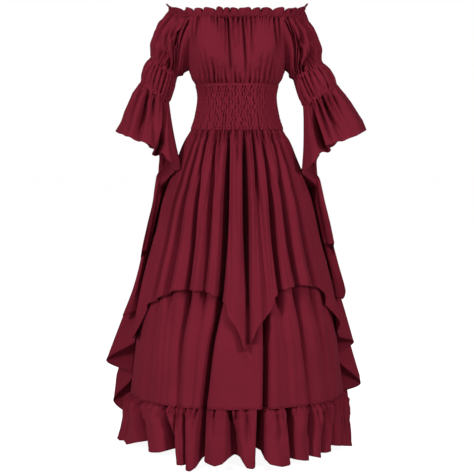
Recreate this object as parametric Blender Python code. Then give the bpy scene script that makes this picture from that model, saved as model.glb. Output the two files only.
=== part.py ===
"""A gown with bare shoulders: shirred waist, puffed sleeves with bell flounces, and a
skirt of two layers. Worn form, hollow. Metres; origin at the middle of the waist, +Z up,
the front faces -Y and +X is the wearer's left."""

import math

import bmesh
import bpy
import numpy as np

WALL = 0.002  # thickness of the cloth as built
SEAM = 0.0003  # clear gap between two pieces that are sewn together
MM = 0.001

Z_BODICE_TOP = 0.2365  # seam of the neck casing at the centre front
Z_SHOULDER_RISE = 0.0255  # how much higher that seam is over the arm
Z_WAIST_TOP = 0.034  # bodice to shirred panel
Z_WAIST_BOTTOM = -0.097  # shirred panel to skirts
Z_RUFFLE_SEAM = -0.888
NECK_HEIGHT = 0.0155  # casing with its heading
SIDE_SEAM_FRONT = 66.0  # degrees round from the centre, overskirt front to side corner
SIDE_SEAM_BACK = 54.0  # the same, from the centre back

# Body of the gown, level by level. `power` is the exponent of the super-ellipse,
# `armhole` the angle from the centre at which the sleeve seam crosses that level.
BODY = [
    # z, half_width, front_depth, back_depth, power, armhole
    dict(z=0.2365, half_width=0.200, front=0.115, back=0.108, power=2.45, armhole=37.8),
    dict(z=0.200, half_width=0.178, front=0.122, back=0.108, power=2.40, armhole=46.9),
    dict(z=0.160, half_width=0.160, front=0.128, back=0.107, power=2.35, armhole=58.0),
    dict(z=0.120, half_width=0.150, front=0.127, back=0.105, power=2.30, armhole=68.0),
    dict(z=0.092, half_width=0.1455, front=0.121, back=0.103, power=2.25, armhole=76.0),
    dict(z=0.079, half_width=0.1435, front=0.117, back=0.102, power=2.20, armhole=90.0),
    dict(z=0.034, half_width=0.1235, front=0.099, back=0.092, power=2.10, armhole=90.0),
    dict(z=0.000, half_width=0.1178, front=0.090, back=0.087, power=2.05, armhole=90.0),
    dict(z=-0.057, half_width=0.1260, front=0.096, back=0.094, power=2.00, armhole=90.0),
    dict(z=-0.097, half_width=0.1390, front=0.106, back=0.104, power=2.00, armhole=90.0),
]

# Envelope of the skirts, level by level. `under` is how far inside it the underskirt hangs.
SKIRT = [
    dict(z=-0.097, half_width=0.139, half_depth=0.105, under=0.007),
    dict(z=-0.115, half_width=0.150, half_depth=0.114, under=0.008),
    dict(z=-0.140, half_width=0.163, half_depth=0.124, under=0.009),
    dict(z=-0.170, half_width=0.1745, half_depth=0.135, under=0.009),
    dict(z=-0.210, half_width=0.191, half_depth=0.150, under=0.009),
    dict(z=-0.255, half_width=0.206, half_depth=0.166, under=0.009),
    dict(z=-0.306, half_width=0.225, half_depth=0.184, under=0.009),
    dict(z=-0.430, half_width=0.254, half_depth=0.221, under=0.009),
    dict(z=-0.505, half_width=0.275, half_depth=0.242, under=0.010),
    dict(z=-0.585, half_width=0.292, half_depth=0.259, under=0.011),
    dict(z=-0.700, half_width=0.305, half_depth=0.277, under=0.006),
    dict(z=-0.850, half_width=0.318, half_depth=0.294, under=0.001),
    dict(z=-0.888, half_width=0.322, half_depth=0.299, under=0.000),
    dict(z=-1.054, half_width=0.349, half_depth=0.331, under=0.000),
]
FOLD_LEVELS = (-0.10, -0.35, -0.56, -0.72, -0.888)  # levels of the fold tables below

# Valleys between the folds of the skirts: where each lies (degrees from the centre) and how
# deep it is (mm), at the waist, half way, at the overskirt's hem and on the underskirt.
FRONT_FOLDS = [
    dict(fold="edge_r", deg=(-66, -66, -66, -66, -66), over=(4, 10, 10), under=(10, 12)),
    dict(fold="a0", deg=(-56, -56, -56, -56, -55), over=(4, 10, 12), under=(12, 14)),
    dict(fold="a", deg=(-45, -46, -46, -45, -44), over=(5, 15, 17), under=(10, 10)),
    dict(fold="b", deg=(-38, -32.5, -31, -33, -32), over=(7, 30, 33), under=(18, 14)),
    dict(fold="c", deg=(-25.6, -21, -20, -23, -24), over=(6, 22, 20), under=(8, 8)),
    dict(fold="d", deg=(-9.6, -9, -10, -15, -18), over=(8, 32, 34), under=(28, 26)),
    dict(fold="e", deg=(8.5, 7.2, 6.5, 6, 6), over=(8, 30, 22), under=(12, 8)),
    dict(fold="f", deg=(19, 16.5, 17, 16.4, 15), over=(6, 9, 12), under=(24, 28)),
    dict(fold="g", deg=(31, 27, 26, 29, 29), over=(7, 26, 28), under=(10, 8)),
    dict(fold="h", deg=(46, 38.5, 39, 40.5, 41.5), over=(7, 26, 28), under=(18, 18)),
    dict(fold="i", deg=(56, 53, 53, 56, 57), over=(4, 14, 15), under=(12, 12)),
    dict(fold="edge_l", deg=(66, 66, 66, 66, 66), over=(4, 12, 12), under=(10, 12)),
]
# Degrees here are measured from the centre back, + towards the wearer's right.
BACK_FOLDS = [
    dict(fold="edge_l", deg=(-54, -54, -54, -54, -54), over=(4, 12, 12), under=(10, 12)),
    dict(fold="k", deg=(-42, -43, -44, -45, -45), over=(6, 18, 18), under=(14, 14)),
    dict(fold="l", deg=(-27, -30, -31, -31, -33), over=(7, 26, 30), under=(20, 20)),
    dict(fold="m", deg=(-15, -14, -15, -16, -17), over=(6, 20, 22), under=(14, 12)),
    dict(fold="n", deg=(1, 2, 3, 2, 1), over=(8, 28, 26), under=(20, 22)),
    dict(fold="o", deg=(16, 17, 16, 15, 16), over=(6, 18, 20), under=(12, 12)),
    dict(fold="p", deg=(28, 30, 32, 33, 32), over=(7, 28, 30), under=(22, 20)),
    dict(fold="q", deg=(43, 42, 43, 44, 45), over=(6, 16, 16), under=(12, 12)),
    dict(fold="edge_r", deg=(54, 54, 54, 54, 54), over=(4, 12, 12), under=(10, 12)),
]
# Hem of the overskirt: how low it hangs, by the angle from the centre.
FRONT_HEM = [
    dict(deg=-66, z=-0.622),
    dict(deg=-59, z=-0.602),
    dict(deg=-51, z=-0.584),
    dict(deg=-38.5, z=-0.559),
    dict(deg=-28, z=-0.556),
    dict(deg=-16.6, z=-0.561),
    dict(deg=-10, z=-0.577),
    dict(deg=-5.2, z=-0.596),
    dict(deg=-3.6, z=-0.630),
    dict(deg=0, z=-0.650),
    dict(deg=2.5, z=-0.672),
    dict(deg=5.0, z=-0.728),
    dict(deg=6.8, z=-0.714),
    dict(deg=11, z=-0.657),
    dict(deg=16, z=-0.632),
    dict(deg=18.7, z=-0.615),
    dict(deg=21.5, z=-0.575),
    dict(deg=25.4, z=-0.560),
    dict(deg=32, z=-0.550),
    dict(deg=43, z=-0.546),
    dict(deg=55.5, z=-0.556),
    dict(deg=60, z=-0.575),
    dict(deg=66, z=-0.612),
]
BACK_HEM = [
    dict(deg=-54, z=-0.610),
    dict(deg=-40, z=-0.572),
    dict(deg=-24, z=-0.560),
    dict(deg=-10, z=-0.610),
    dict(deg=0, z=-0.690),
    dict(deg=3, z=-0.700),
    dict(deg=13, z=-0.605),
    dict(deg=26, z=-0.562),
    dict(deg=40, z=-0.570),
    dict(deg=54, z=-0.610),
]
POINT_LIFT = [  # how far the centre points stand off the underskirt (mm)
    dict(z=-0.50, lift=0.0),
    dict(z=-0.60, lift=7.0),
    dict(z=-0.74, lift=19.0),
]

# Side corners of the overskirt: the folds of the cascade from the front seam to the back one.
# deg from the centre front, `out` how far the fold stands off the skirt (mm), hem its end.
CASCADE = dict(
    right=[  # the wearer's right, on -X
        dict(fold="seam_front", deg=66, out=0, hem=-0.622),
        dict(fold="ridge_1", deg=74, out=18, hem=-0.712),
        dict(fold="valley_1", deg=79, out=2, hem=-0.716),
        dict(fold="flat_1", deg=91, out=2, hem=-0.735),
        dict(fold="ridge_2", deg=99, out=82, hem=-0.786),
        dict(fold="valley_2", deg=103, out=6, hem=-0.835),
        dict(fold="ridge_3", deg=108, out=50, hem=-0.915),
        dict(fold="valley_3", deg=113, out=8, hem=-0.962),
        dict(fold="ridge_4", deg=118, out=34, hem=-0.860),
        dict(fold="seam_back", deg=126, out=0, hem=-0.610),
    ],
    left=[
        dict(fold="seam_front", deg=66, out=0, hem=-0.612),
        dict(fold="ridge_1", deg=74, out=32, hem=-0.662),
        dict(fold="valley_1", deg=79, out=2, hem=-0.700),
        dict(fold="flat_1", deg=91, out=2, hem=-0.720),
        dict(fold="ridge_2", deg=99, out=60, hem=-0.744),
        dict(fold="valley_2", deg=103, out=6, hem=-0.790),
        dict(fold="ridge_3", deg=107, out=58, hem=-0.862),
        dict(fold="valley_3", deg=112, out=8, hem=-0.905),
        dict(fold="ridge_4", deg=117, out=42, hem=-0.975),
        dict(fold="seam_back", deg=126, out=0, hem=-0.610),
    ],
)

# Hem ruffle: valleys of its gathers (degrees, top and hem), their depth (mm) and the
# height of the hem there and on the fold that follows (mm above the lowest level).
RUFFLE_FRONT = [
    dict(top=-90, hem=-90, depth=16, rise=12, next_rise=14),
    dict(top=-77, hem=-79, depth=26, rise=18, next_rise=10),
    dict(top=-65, hem=-64, depth=40, rise=22, next_rise=8),
    dict(top=-53, hem=-51, depth=34, rise=34, next_rise=10),
    dict(top=-42, hem=-37, depth=42, rise=30, next_rise=4),
    dict(top=-30, hem=-31, depth=26, rise=24, next_rise=-6),
    dict(top=-18.3, hem=-17.6, depth=46, rise=26, next_rise=4),
    dict(top=-3.5, hem=-4, depth=30, rise=22, next_rise=0),
    dict(top=14.7, hem=13.2, depth=46, rise=32, next_rise=4),
    dict(top=31, hem=29.5, depth=36, rise=22, next_rise=6),
    dict(top=44, hem=44, depth=24, rise=18, next_rise=8),
    dict(top=55, hem=53, depth=24, rise=22, next_rise=6),
    dict(top=67, hem=64, depth=38, rise=24, next_rise=6),
    dict(top=79, hem=80, depth=24, rise=18, next_rise=8),
    dict(top=90, hem=90, depth=16, rise=12, next_rise=8),
]
RUFFLE_BACK = [
    dict(top=-90, hem=-90, depth=16, rise=12, next_rise=6),
    dict(top=-74, hem=-76, depth=30, rise=18, next_rise=8),
    dict(top=-59, hem=-57, depth=38, rise=24, next_rise=4),
    dict(top=-41, hem=-42, depth=28, rise=16, next_rise=6),
    dict(top=-24, hem=-25, depth=42, rise=24, next_rise=2),
    dict(top=-6, hem=-4, depth=34, rise=18, next_rise=6),
    dict(top=11, hem=13, depth=40, rise=24, next_rise=2),
    dict(top=29, hem=28, depth=28, rise=16, next_rise=8),
    dict(top=46, hem=48, depth=40, rise=22, next_rise=4),
    dict(top=62, hem=61, depth=28, rise=18, next_rise=8),
    dict(top=76, hem=77, depth=30, rise=20, next_rise=14),
    dict(top=90, hem=90, depth=16, rise=12, next_rise=14),
]

# Elastic lines of the sleeves and hem of the bell: centre, half the width seen from the
# front, half the depth, and the fall of the line from its outer to its inner end (degrees).
ARM = dict(
    right=[
        dict(line="upper_elastic", x=0.2163, z=0.0862, half=0.0492, deep=0.047, tilt=34.6),
        dict(line="elbow_elastic", x=0.2434, z=0.0148, half=0.0516, deep=0.049, tilt=32.9),
        dict(line="bell_hem", x=0.2665, z=-0.1560, half=0.1160, deep=0.100, tilt=28.9, y=-0.020),
    ],
    left=[
        dict(line="upper_elastic", x=0.2121, z=0.0758, half=0.0499, deep=0.047, tilt=30.6),
        dict(line="elbow_elastic", x=0.2475, z=0.0048, half=0.0564, deep=0.050, tilt=32.0),
        dict(line="bell_hem", x=0.2900, z=-0.1570, half=0.1110, deep=0.100, tilt=31.0, y=-0.020),
    ],
)
PUFF = [  # swell of the cloth between two gathered lines (mm)
    dict(t=0.0, upper=0, middle=0),
    dict(t=0.12, upper=8, middle=5),
    dict(t=0.40, upper=17, middle=10),
    dict(t=0.75, upper=15, middle=8),
    dict(t=1.0, upper=0, middle=0),
]
BELL = [  # share of the way out to the hem ring, and depth of the flutes (mm)
    dict(t=0.0, flare=0.0, flute=0),
    dict(t=0.30, flare=0.24, flute=3),
    dict(t=0.65, flare=0.58, flute=8),
    dict(t=1.0, flare=1.0, flute=14),
]
BELL_FLUTES = 8
ELASTIC = 0.009  # width of an elastic line

# Hanging corner of the sleeve: nearest and farthest from the skirt at each level.
TRAIN_COURSE = dict(
    right=[
        dict(z=-0.230, near=0.205, far=0.238, y=0.016),
        dict(z=-0.300, near=0.229, far=0.248, y=0.008),
        dict(z=-0.375, near=0.247, far=0.268, y=0.004),
        dict(z=-0.435, near=0.262, far=0.281, y=0.002),
        dict(z=-0.500, near=0.281, far=0.292, y=0.0),
        dict(z=-0.573, near=0.299, far=0.311, y=0.0),
        dict(z=-0.660, near=0.313, far=0.345, y=0.0),
    ],
    left=[
        dict(z=-0.230, near=0.213, far=0.243, y=0.018),
        dict(z=-0.300, near=0.231, far=0.258, y=0.010),
        dict(z=-0.375, near=0.249, far=0.276, y=0.005),
        dict(z=-0.435, near=0.264, far=0.288, y=0.002),
        dict(z=-0.500, near=0.283, far=0.305, y=0.0),
        dict(z=-0.577, near=0.300, far=0.328, y=0.0),
        dict(z=-0.620, near=0.306, far=0.336, y=0.0),
    ],
)
# Its folds, from the inner edge in front to the one at the back: share of the way out,
# place along Y (mm) where it is full, and the hem (one column for each side).
TRAIN_FOLDS = [
    dict(fold="edge_1", out=0.15, along=-36, right=-0.462, left=-0.452),
    dict(fold="ridge_1", out=1.0, along=-29, right=-0.466, left=-0.437),
    dict(fold="valley_1", out=0.1, along=-14, right=-0.540, left=-0.500),
    dict(fold="ridge_2", out=1.0, along=2, right=-0.657, left=-0.578),
    dict(fold="valley_2", out=0.1, along=24, right=-0.652, left=-0.608),
    dict(fold="ridge_3", out=0.8, along=50, right=-0.600, left=-0.540),
    dict(fold="edge_2", out=0.1, along=80, right=-0.520, left=-0.480),
]

BODY_RATIO = 1.94  # square of width to depth, where the seams of the body cross it
SKIRT_RATIO = 1.30
SKIRT_CLEAR = 0.009  # how far a sleeve's cloth stays off the skirt's envelope
CLOTH = (0.125, 0.012, 0.026, 1.0)  # burgundy


# ---------------------------------------------------------------- tables

def slopes_of(xs, ys):
    """Slopes of a curve that passes a table's rows without overshoot."""
    step = np.diff(ys) / np.diff(xs)
    slopes = np.zeros(len(xs))
    for i in range(1, len(xs) - 1):
        if step[i - 1] * step[i] > 0:
            slopes[i] = 2 * step[i - 1] * step[i] / (step[i - 1] + step[i])
    slopes[0], slopes[-1] = step[0], step[-1]
    return slopes


def curve(xs, ys, x):
    """Smooth reading of ys at x; past either end it stays at the last value."""
    xs, ys = np.asarray(xs, float), np.asarray(ys, float)
    if xs[0] > xs[-1]:
        xs, ys = xs[::-1], ys[::-1]
    slopes = slopes_of(xs, ys)
    x = np.clip(x, xs[0], xs[-1])
    i = np.clip(np.searchsorted(xs, x) - 1, 0, len(xs) - 2)
    h = xs[i + 1] - xs[i]
    t = (x - xs[i]) / h
    return (
        ys[i] * (2 * t**3 - 3 * t**2 + 1)
        + ys[i + 1] * (3 * t**2 - 2 * t**3)
        + h * slopes[i] * (t**3 - 2 * t**2 + t)
        + h * slopes[i + 1] * (t**3 - t**2)
    )


def read(table, key, x, by="z"):
    return curve([row[by] for row in table], [row[key] for row in table], x)


def read_straight(table, key, x, by):
    xs = [row[by] for row in table]
    return np.interp(x, xs, [row[key] for row in table])


def smooth_step(x):
    x = np.clip(x, 0.0, 1.0)
    return x * x * (3 - 2 * x)


# ---------------------------------------------------------------- solids

def normals_of(grid, closed):
    if closed:
        wide = np.concatenate([grid[:, -1:], grid, grid[:, :1]], axis=1)
        across = (wide[:, 2:] - wide[:, :-2]) / 2
    else:
        across = np.gradient(grid, axis=1)
    along = np.gradient(grid, axis=0)
    normal = np.cross(across, along)
    normal /= np.linalg.norm(normal, axis=2, keepdims=True)
    # out is away from the middle of a tube, or from the middle of the body
    away = grid - (grid.mean(axis=1, keepdims=True) if closed else np.zeros(3))
    away[:, :, 2] *= 0
    return normal * np.sign((normal * away).sum())


def facing_out(points, ratio):
    """Directions square to an ellipse whose sides are in this ratio, squared."""
    away = np.asarray(points, float) * np.array([1.0, ratio, 0.0])
    return away / np.linalg.norm(away, axis=-1, keepdims=True)


def wall(name, grid, closed=False, level=False, outward=None, ratio=None, turned=False):
    """A sheet of cloth through the rows of points, as one closed solid. `level` keeps each
    row's thickness in its own plane, so that a seam above or below it stays open, and
    `ratio` does the same for the seams at its sides."""
    grid = np.asarray(grid, float)
    normal = normals_of(grid, closed) * (-1 if turned else 1)
    if level:
        normal[:, :, 2] = 0
        normal /= np.linalg.norm(normal, axis=2, keepdims=True)
    if outward is not None:
        for row, direction in outward.items():
            normal[row] = direction
    if ratio is not None:
        for column in (0, -1):
            normal[:, column] = facing_out(grid[:, column], ratio)
    inner = grid - WALL * normal
    rows, columns = grid.shape[:2]
    mesh = bmesh.new()
    shells = [
        [[mesh.verts.new(point) for point in row] for row in shell]
        for shell in (grid, inner)
    ]
    last = columns if closed else columns - 1

    def quad(a, b, c, d):
        mesh.faces.new((a, b, c))
        mesh.faces.new((a, c, d))

    for i in range(rows - 1):
        for j in range(last):
            k = (j + 1) % columns
            outer, inside = shells
            quad(outer[i][j], outer[i][k], outer[i + 1][k], outer[i + 1][j])
            quad(inside[i][j], inside[i + 1][j], inside[i + 1][k], inside[i][k])
    for i in (0, rows - 1):
        for j in range(last):
            k = (j + 1) % columns
            ring = [shells[0][i][j], shells[1][i][j], shells[1][i][k], shells[0][i][k]]
            quad(*(ring if i == 0 else ring[::-1]))
    if not closed:
        for j in (0, columns - 1):
            for i in range(rows - 1):
                ring = [shells[0][i][j], shells[0][i + 1][j], shells[1][i + 1][j], shells[1][i][j]]
                quad(*(ring if j == 0 else ring[::-1]))
    bmesh.ops.recalc_face_normals(mesh, faces=mesh.faces)
    data = bpy.data.meshes.new(name)
    mesh.to_mesh(data)
    mesh.free()
    if signed_volume(data) < 0:
        data.flip_normals()
    data.materials.append(cloth)
    thing = bpy.data.objects.new(name, data)
    bpy.context.scene.collection.objects.link(thing)
    return thing


def signed_volume(data):
    data.calc_loop_triangles()
    total = 0.0
    for triangle in data.loop_triangles:
        a, b, c = (data.vertices[i].co for i in triangle.vertices)
        total += a.dot(b.cross(c)) / 6
    return total


# ---------------------------------------------------------------- body and waist

def body_point(deg, z, out=0.0):
    """Point of the body's surface at an angle from the centre front, + to +X."""
    side = math.radians(deg)
    s, c = math.sin(side), math.cos(side)
    power = read(BODY, "power", z)
    depth = read(BODY, "front" if c >= 0 else "back", z) + out
    width = read(BODY, "half_width", z) + out
    x = width * math.copysign(abs(s) ** (2 / power), s)
    y = -depth * math.copysign(abs(c) ** (2 / power), c)
    return np.array([x, y, z])


def bust(deg, z):
    """Fullness of the gathered cups."""
    off_centre = abs(deg)
    return 0.013 * math.exp(-(((off_centre - 33) / 19) ** 2) - ((z - 0.135) / 0.048) ** 2)


def neck_level(deg):
    """Height of the casing's seam round the neckline."""
    off = abs((deg + 180) % 360 - 180)
    off = min(off, 180 - off)
    rise = smooth_step((off - 37.8) / 52.2)
    return Z_BODICE_TOP + Z_SHOULDER_RISE * rise


def bodice_panel(front, columns):
    grid = []
    for row in BODY:
        z = row["z"]
        if z < Z_WAIST_TOP - 1e-6:
            break
        half = row["armhole"]
        level = z
        if z == Z_BODICE_TOP:
            level = z - SEAM / 2
        if z == Z_WAIST_TOP:
            level = z + SEAM / 2
        points = []
        for j in range(columns):
            share = 2 * j / (columns - 1) - 1
            deg = half * share
            out = bust(deg, z) * (1 - share**6) if front else 0.0
            points.append(body_point(deg if front else 180 - deg, level, out))
        # the panel stops half a seam short of its neighbours
        for end, inner in ((0, 1), (-1, -2)):
            step = points[inner] - points[end]
            points[end] = points[end] + step * (SEAM / 2 / np.linalg.norm(step))
        grid.append(points)
    return grid


def waist_panel(front, columns, rows):
    grid = []
    for i in range(rows):
        z = Z_WAIST_TOP - SEAM / 2 + (Z_WAIST_BOTTOM + SEAM - Z_WAIST_TOP) * i / (rows - 1)
        swell = 0.0012 if 0 < i < rows - 1 and i % 2 else 0.0
        half = 90 - math.degrees(SEAM / 2 / 0.11)
        points = []
        for j in range(columns):
            deg = half * (2 * j / (columns - 1) - 1)
            points.append(body_point(deg if front else 180 - deg, z, swell))
        grid.append(points)
    return grid


def shoulder_points(sign):
    """Where the sleeve meets the casing, between its front seam and its back one."""
    points = []
    for share in (0.22, 0.40, 0.5, 0.60, 0.78):
        deg = 37.8 + share * (142.2 - 37.8)
        point = body_point(sign * deg, Z_BODICE_TOP)
        point[2] = neck_level(deg)
        points.append(point)
    return points


def neck_ring():
    """Stands on the tops of the bodice and the sleeves, along the same straight steps."""
    front = [body_point(deg, Z_BODICE_TOP) for deg in np.linspace(-37.8, 37.8, 13)]
    back = [body_point(180 - deg, Z_BODICE_TOP) for deg in np.linspace(-37.8, 37.8, 11)]
    sides = []
    for sign, start, end in ((1, front[-1], back[-1]), (-1, front[0], back[0])):
        course = [start] + shoulder_points(sign) + [end]
        steps = []
        for here, ahead in zip(course, course[1:]):
            steps += [here, (here + ahead) / 2]
        sides.append(steps[1:])
    base = front + sides[0] + back[::-1] + sides[1][::-1]
    grid = []
    for share, out, ripple in ((0.0, 0.0, 0.0), (0.5, 0.8, 0.3), (1.0, 2.6, 2.4)):
        points = []
        for j, start in enumerate(base):
            wave = ripple * (1 if j % 2 else -1)
            point = start + facing_out(start, (0.2 / 0.115) ** 2) * (out + wave) * MM
            point[2] = start[2] + SEAM / 2 + share * (NECK_HEIGHT - SEAM / 2)
            point[2] += 0.0015 * share * (j % 2)
            points.append(point)
        grid.append(points)
    return grid


# ---------------------------------------------------------------- sleeves

def armhole_ring(sign):
    """Edge of the sleeve, from under the arm up the front seam, along the neckline over the
    shoulder and down the back seam. sign is +1 on the wearer's left."""
    levels = [row for row in BODY if Z_BODICE_TOP >= row["z"] > 0.078]
    front = [body_point(sign * row["armhole"], row["z"]) for row in levels][::-1]
    back = [body_point(sign * (180 - row["armhole"]), row["z"]) for row in levels]
    shoulder = shoulder_points(sign)
    return np.array(front + shoulder + back[:-1])


def inset_ring(ring, by, facing):
    """The ring moved across itself, away from the piece it is sewn to."""
    ahead = np.roll(ring, -1, axis=0) - np.roll(ring, 1, axis=0)
    away = np.cross(ahead, facing)
    away /= np.linalg.norm(away, axis=1, keepdims=True)
    middle = ring.mean(axis=0)
    if ((ring - middle) * away).sum() > 0:
        away = -away
    return ring + by * away


def arm_ring(row, sign, turn, drop=0.0, extra=0.0):
    """Ring of an elastic line. turn 0 is at the body, 90 in front, 180 outside."""
    tilt = math.radians(row["tilt"])
    outward = np.array([sign * math.cos(tilt), 0.0, math.sin(tilt)])
    down = np.array([sign * math.sin(tilt), 0.0, -math.cos(tilt)])
    centre = np.array([sign * row["x"], row.get("y", 0.0), row["z"]]) + drop * down
    turn = np.radians(turn)[:, None]
    ring = (
        centre
        - (row["half"] + extra) * np.cos(turn) * outward
        - (row["deep"] + extra) * np.sin(turn) * np.array([0.0, 1.0, 0.0])
    )
    away = ring - centre
    return ring, away / np.linalg.norm(away, axis=1, keepdims=True)


def turns_of(ring):
    """Place of each point of the armhole on the elastic lines, by its share of the way."""
    step = np.linalg.norm(np.roll(ring, -1, axis=0) - ring, axis=1)
    return 360 * np.concatenate([[0], np.cumsum(step)[:-1]]) / step.sum()


def sleeve_grid(side, sign):
    upper, elbow, _ = ARM[side]
    start = armhole_ring(sign)
    turn = turns_of(start)
    facing = facing_out(start, BODY_RATIO)
    edge = inset_ring(start, 2 * SEAM, facing)
    edge[:, 2] = np.minimum(edge[:, 2], start[:, 2] + SEAM)
    for j, point in enumerate(edge):  # under the casing, the seam is level
        if start[j][2] >= Z_BODICE_TOP - 1e-6:
            point[2] = start[j][2] - SEAM / 2
    lines = [edge]
    first, away = arm_ring(upper, sign, turn, -ELASTIC / 2)
    for t in (0.12, 0.40, 0.75):
        swell = read(PUFF, "upper", t, by="t") * MM
        length = np.linalg.norm(first - edge, axis=1, keepdims=True)
        out = away * (1 - t) * 0.3 + away * t + facing * (1 - t) * 0.7
        out /= np.linalg.norm(out, axis=1, keepdims=True)
        lines.append(edge * (1 - t) + first * t + swell * np.minimum(length / 0.15, 1.1) * out)
    lines.append(first)
    second, _ = arm_ring(upper, sign, turn, ELASTIC / 2)
    lines.append(second)
    third, out = arm_ring(elbow, sign, turn, -ELASTIC / 2)
    for t in (0.3, 0.75):
        swell = read(PUFF, "middle", t, by="t") * MM
        lines.append(second * (1 - t) + third * t + swell * out)
    lines.append(third)
    fourth, last_away = arm_ring(elbow, sign, turn, ELASTIC / 2)
    lines.append(fourth)
    return np.array(lines), facing, last_away


def clear_of_skirt(point, margin=SKIRT_CLEAR):
    """The point, or the nearest place outside the skirt if it falls inside."""
    z = point[2]
    width = read(SKIRT, "half_width", z) + margin
    depth = read(SKIRT, "half_depth", z) + margin
    inside = math.hypot(point[0] / width, point[1] / depth)
    if z < SKIRT[0]["z"] and inside < 1:
        point = point * np.array([1 / inside, 1 / inside, 1.0])
    return point


def flounce_grid(side, sign, columns):
    elbow, hem = ARM[side][1], ARM[side][2]
    turn = np.arange(columns) * 360 / columns
    top, away = arm_ring(elbow, sign, turn, ELASTIC / 2 + SEAM)
    end, end_away = arm_ring(hem, sign, turn)
    flute = np.cos(np.radians(turn) * BELL_FLUTES)
    lines = []
    for row in BELL:
        t, flare = row["t"], row["flare"]
        # the cloth first falls along the arm and then flares
        fall = top * (1 - t) + end * t
        ring = fall + (end - top - (end.mean(axis=0) - top.mean(axis=0))) * (flare - t)
        ring = ring + row["flute"] * MM * flute[:, None] * end_away
        lines.append([clear_of_skirt(point) for point in ring])
    return np.array(lines), away, end_away


def fall_behind(y, z):
    """How much narrower the skirt is this far behind its widest line."""
    share = min(max(y / read(SKIRT, "half_depth", z), 0.0), 0.95)
    return read(SKIRT, "half_width", z) * (1 - math.sqrt(1 - share * share))


def drawn_in(along, z):
    """The folds behind close up lower down, in front of the overskirt's corner."""
    return along * (1 - 0.62 * smooth_step((-0.38 - z) / 0.11)) if along > 0 else along


def train_grid(side, sign, bell, bell_away):
    """Grows from the inner and back part of the bell's hem."""
    tilt = math.radians(ARM[side][2]["tilt"])
    down = np.array([sign * math.sin(tilt), 0.0, -math.cos(tilt)])
    picked = [1, 0, -1, -2, -3, -4, -5, -6]
    hem = bell[-1][picked] + 0.0006 * down
    away = bell_away[picked]
    top, facing = [], []
    for i in range(len(picked) - 1):
        top += [hem[i], (hem[i] + hem[i + 1]) / 2]
        facing += [away[i], (away[i] + away[i + 1]) / 2]
    top.append(hem[-1])
    facing.append(away[-1])
    course = TRAIN_COURSE[side]
    along_knots = np.linspace(0, 1, len(TRAIN_FOLDS))
    u = np.linspace(0, 1, len(top))
    out, along, end = (
        [curve(along_knots, [fold[key] for fold in TRAIN_FOLDS], x) for x in u]
        for key in ("out", "along", side)
    )
    lines = []
    for v in (0.0, 0.12, 0.28, 0.46, 0.64, 0.82, 1.0):
        points = []
        for j in range(len(top)):
            z = top[j][2] + (end[j] - top[j][2]) * v
            full = smooth_step((top[j][2] - z) / 0.11)
            near, far = read(course, "near", z), read(course, "far", z)
            y = read(course, "y", z) + drawn_in(along[j], z) * MM
            x = near + (far - near) * out[j] - fall_behind(y, z)
            target = np.array([sign * x, y, z])
            start = np.array([top[j][0], top[j][1], z])
            point = start * (1 - full) + target * full
            points.append(point if v == 0 else clear_of_skirt(point, SKIRT_CLEAR + 0.003))
        lines.append(points)
    return np.array(lines), np.array(facing)


# ---------------------------------------------------------------- skirts

def fold_degrees(row, z):
    return curve(FOLD_LEVELS, row["deg"], z)


def fold_depth(row, z, under):
    over = row["over"]
    if under:
        own = curve((-0.60, -0.72, -0.888), (row["under"][0], row["under"][0], row["under"][1]), z)
        share = smooth_step((-0.575 - z) / 0.10)
        nested = curve(FOLD_LEVELS[:3], over, z)
        return (nested * (1 - share) + own * share) * MM
    return curve(FOLD_LEVELS[:3], over, z) * MM


def ridge_shape(t):
    """0 in a valley, 1 on the broad fold between two valleys."""
    return np.sin(math.pi * np.clip(t, 0, 1)) ** 0.55


def skirt_place(folds, j, t, z, under):
    """Angle and displacement on fold j, a share t of the way to the next valley."""
    here, ahead = folds[j], folds[min(j + 1, len(folds) - 1)]
    deg = fold_degrees(here, z) * (1 - t) + fold_degrees(ahead, z) * t
    depth = fold_depth(here, z, under) * (1 - t) + fold_depth(ahead, z, under) * t
    return deg, -depth * (1 - ridge_shape(t))


def skirt_point(deg, z, out, centre=0.0):
    side = math.radians(deg)
    width = read(SKIRT, "half_width", z) + out
    depth = read(SKIRT, "half_depth", z) + out
    flip = -1 if centre == 0.0 else 1
    x = width * math.sin(side) * (1 if centre == 0.0 else -1)
    return np.array([x, flip * depth * math.cos(side), z])


SKIRT_ROWS = (0.0, 0.07, 0.22, 0.45, 0.74, 1.0)
OVER_STEPS = (0.0, 0.17, 0.5, 0.83)
BACK_STEPS = (0.0, 0.3, 0.7)


def over_panel(folds, hem, centre, steps):
    stations = [(j, t) for j in range(len(folds) - 1) for t in steps]
    stations.append((len(folds) - 2, 1.0))
    grid = []
    for v in SKIRT_ROWS:
        points = []
        for j, t in stations:
            end_deg, _ = skirt_place(folds, j, t, -0.56, False)
            low = read_straight(hem, "z", end_deg, "deg")
            z = (Z_WAIST_BOTTOM - SEAM / 2) * (1 - v) + low * v
            deg, out = skirt_place(folds, j, t, z, False)
            near_centre = math.exp(-(((deg - 4) / 17) ** 2))
            out += read(POINT_LIFT, "lift", z) * MM * near_centre
            points.append(skirt_point(deg, z, out, centre))
        for end, inner in ((0, 1), (-1, -2)):
            step = points[inner] - points[end]
            points[end] = points[end] + step * (SEAM / 2 / np.linalg.norm(step))
        grid.append(points)
    return grid


def under_folds(folds, edge):
    """The underskirt's folds: the overskirt's, and two more at each side."""
    side = dict(over=(4, 8, 8), under=(8, 8))
    first, last = folds[0]["deg"][0], folds[-1]["deg"][0]
    before = [dict(side, deg=(deg,) * 5) for deg in (-edge, (first - edge) / 2)]
    after = [dict(side, deg=(deg,) * 5) for deg in ((last + edge) / 2, edge)]
    return before + folds + after


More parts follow.
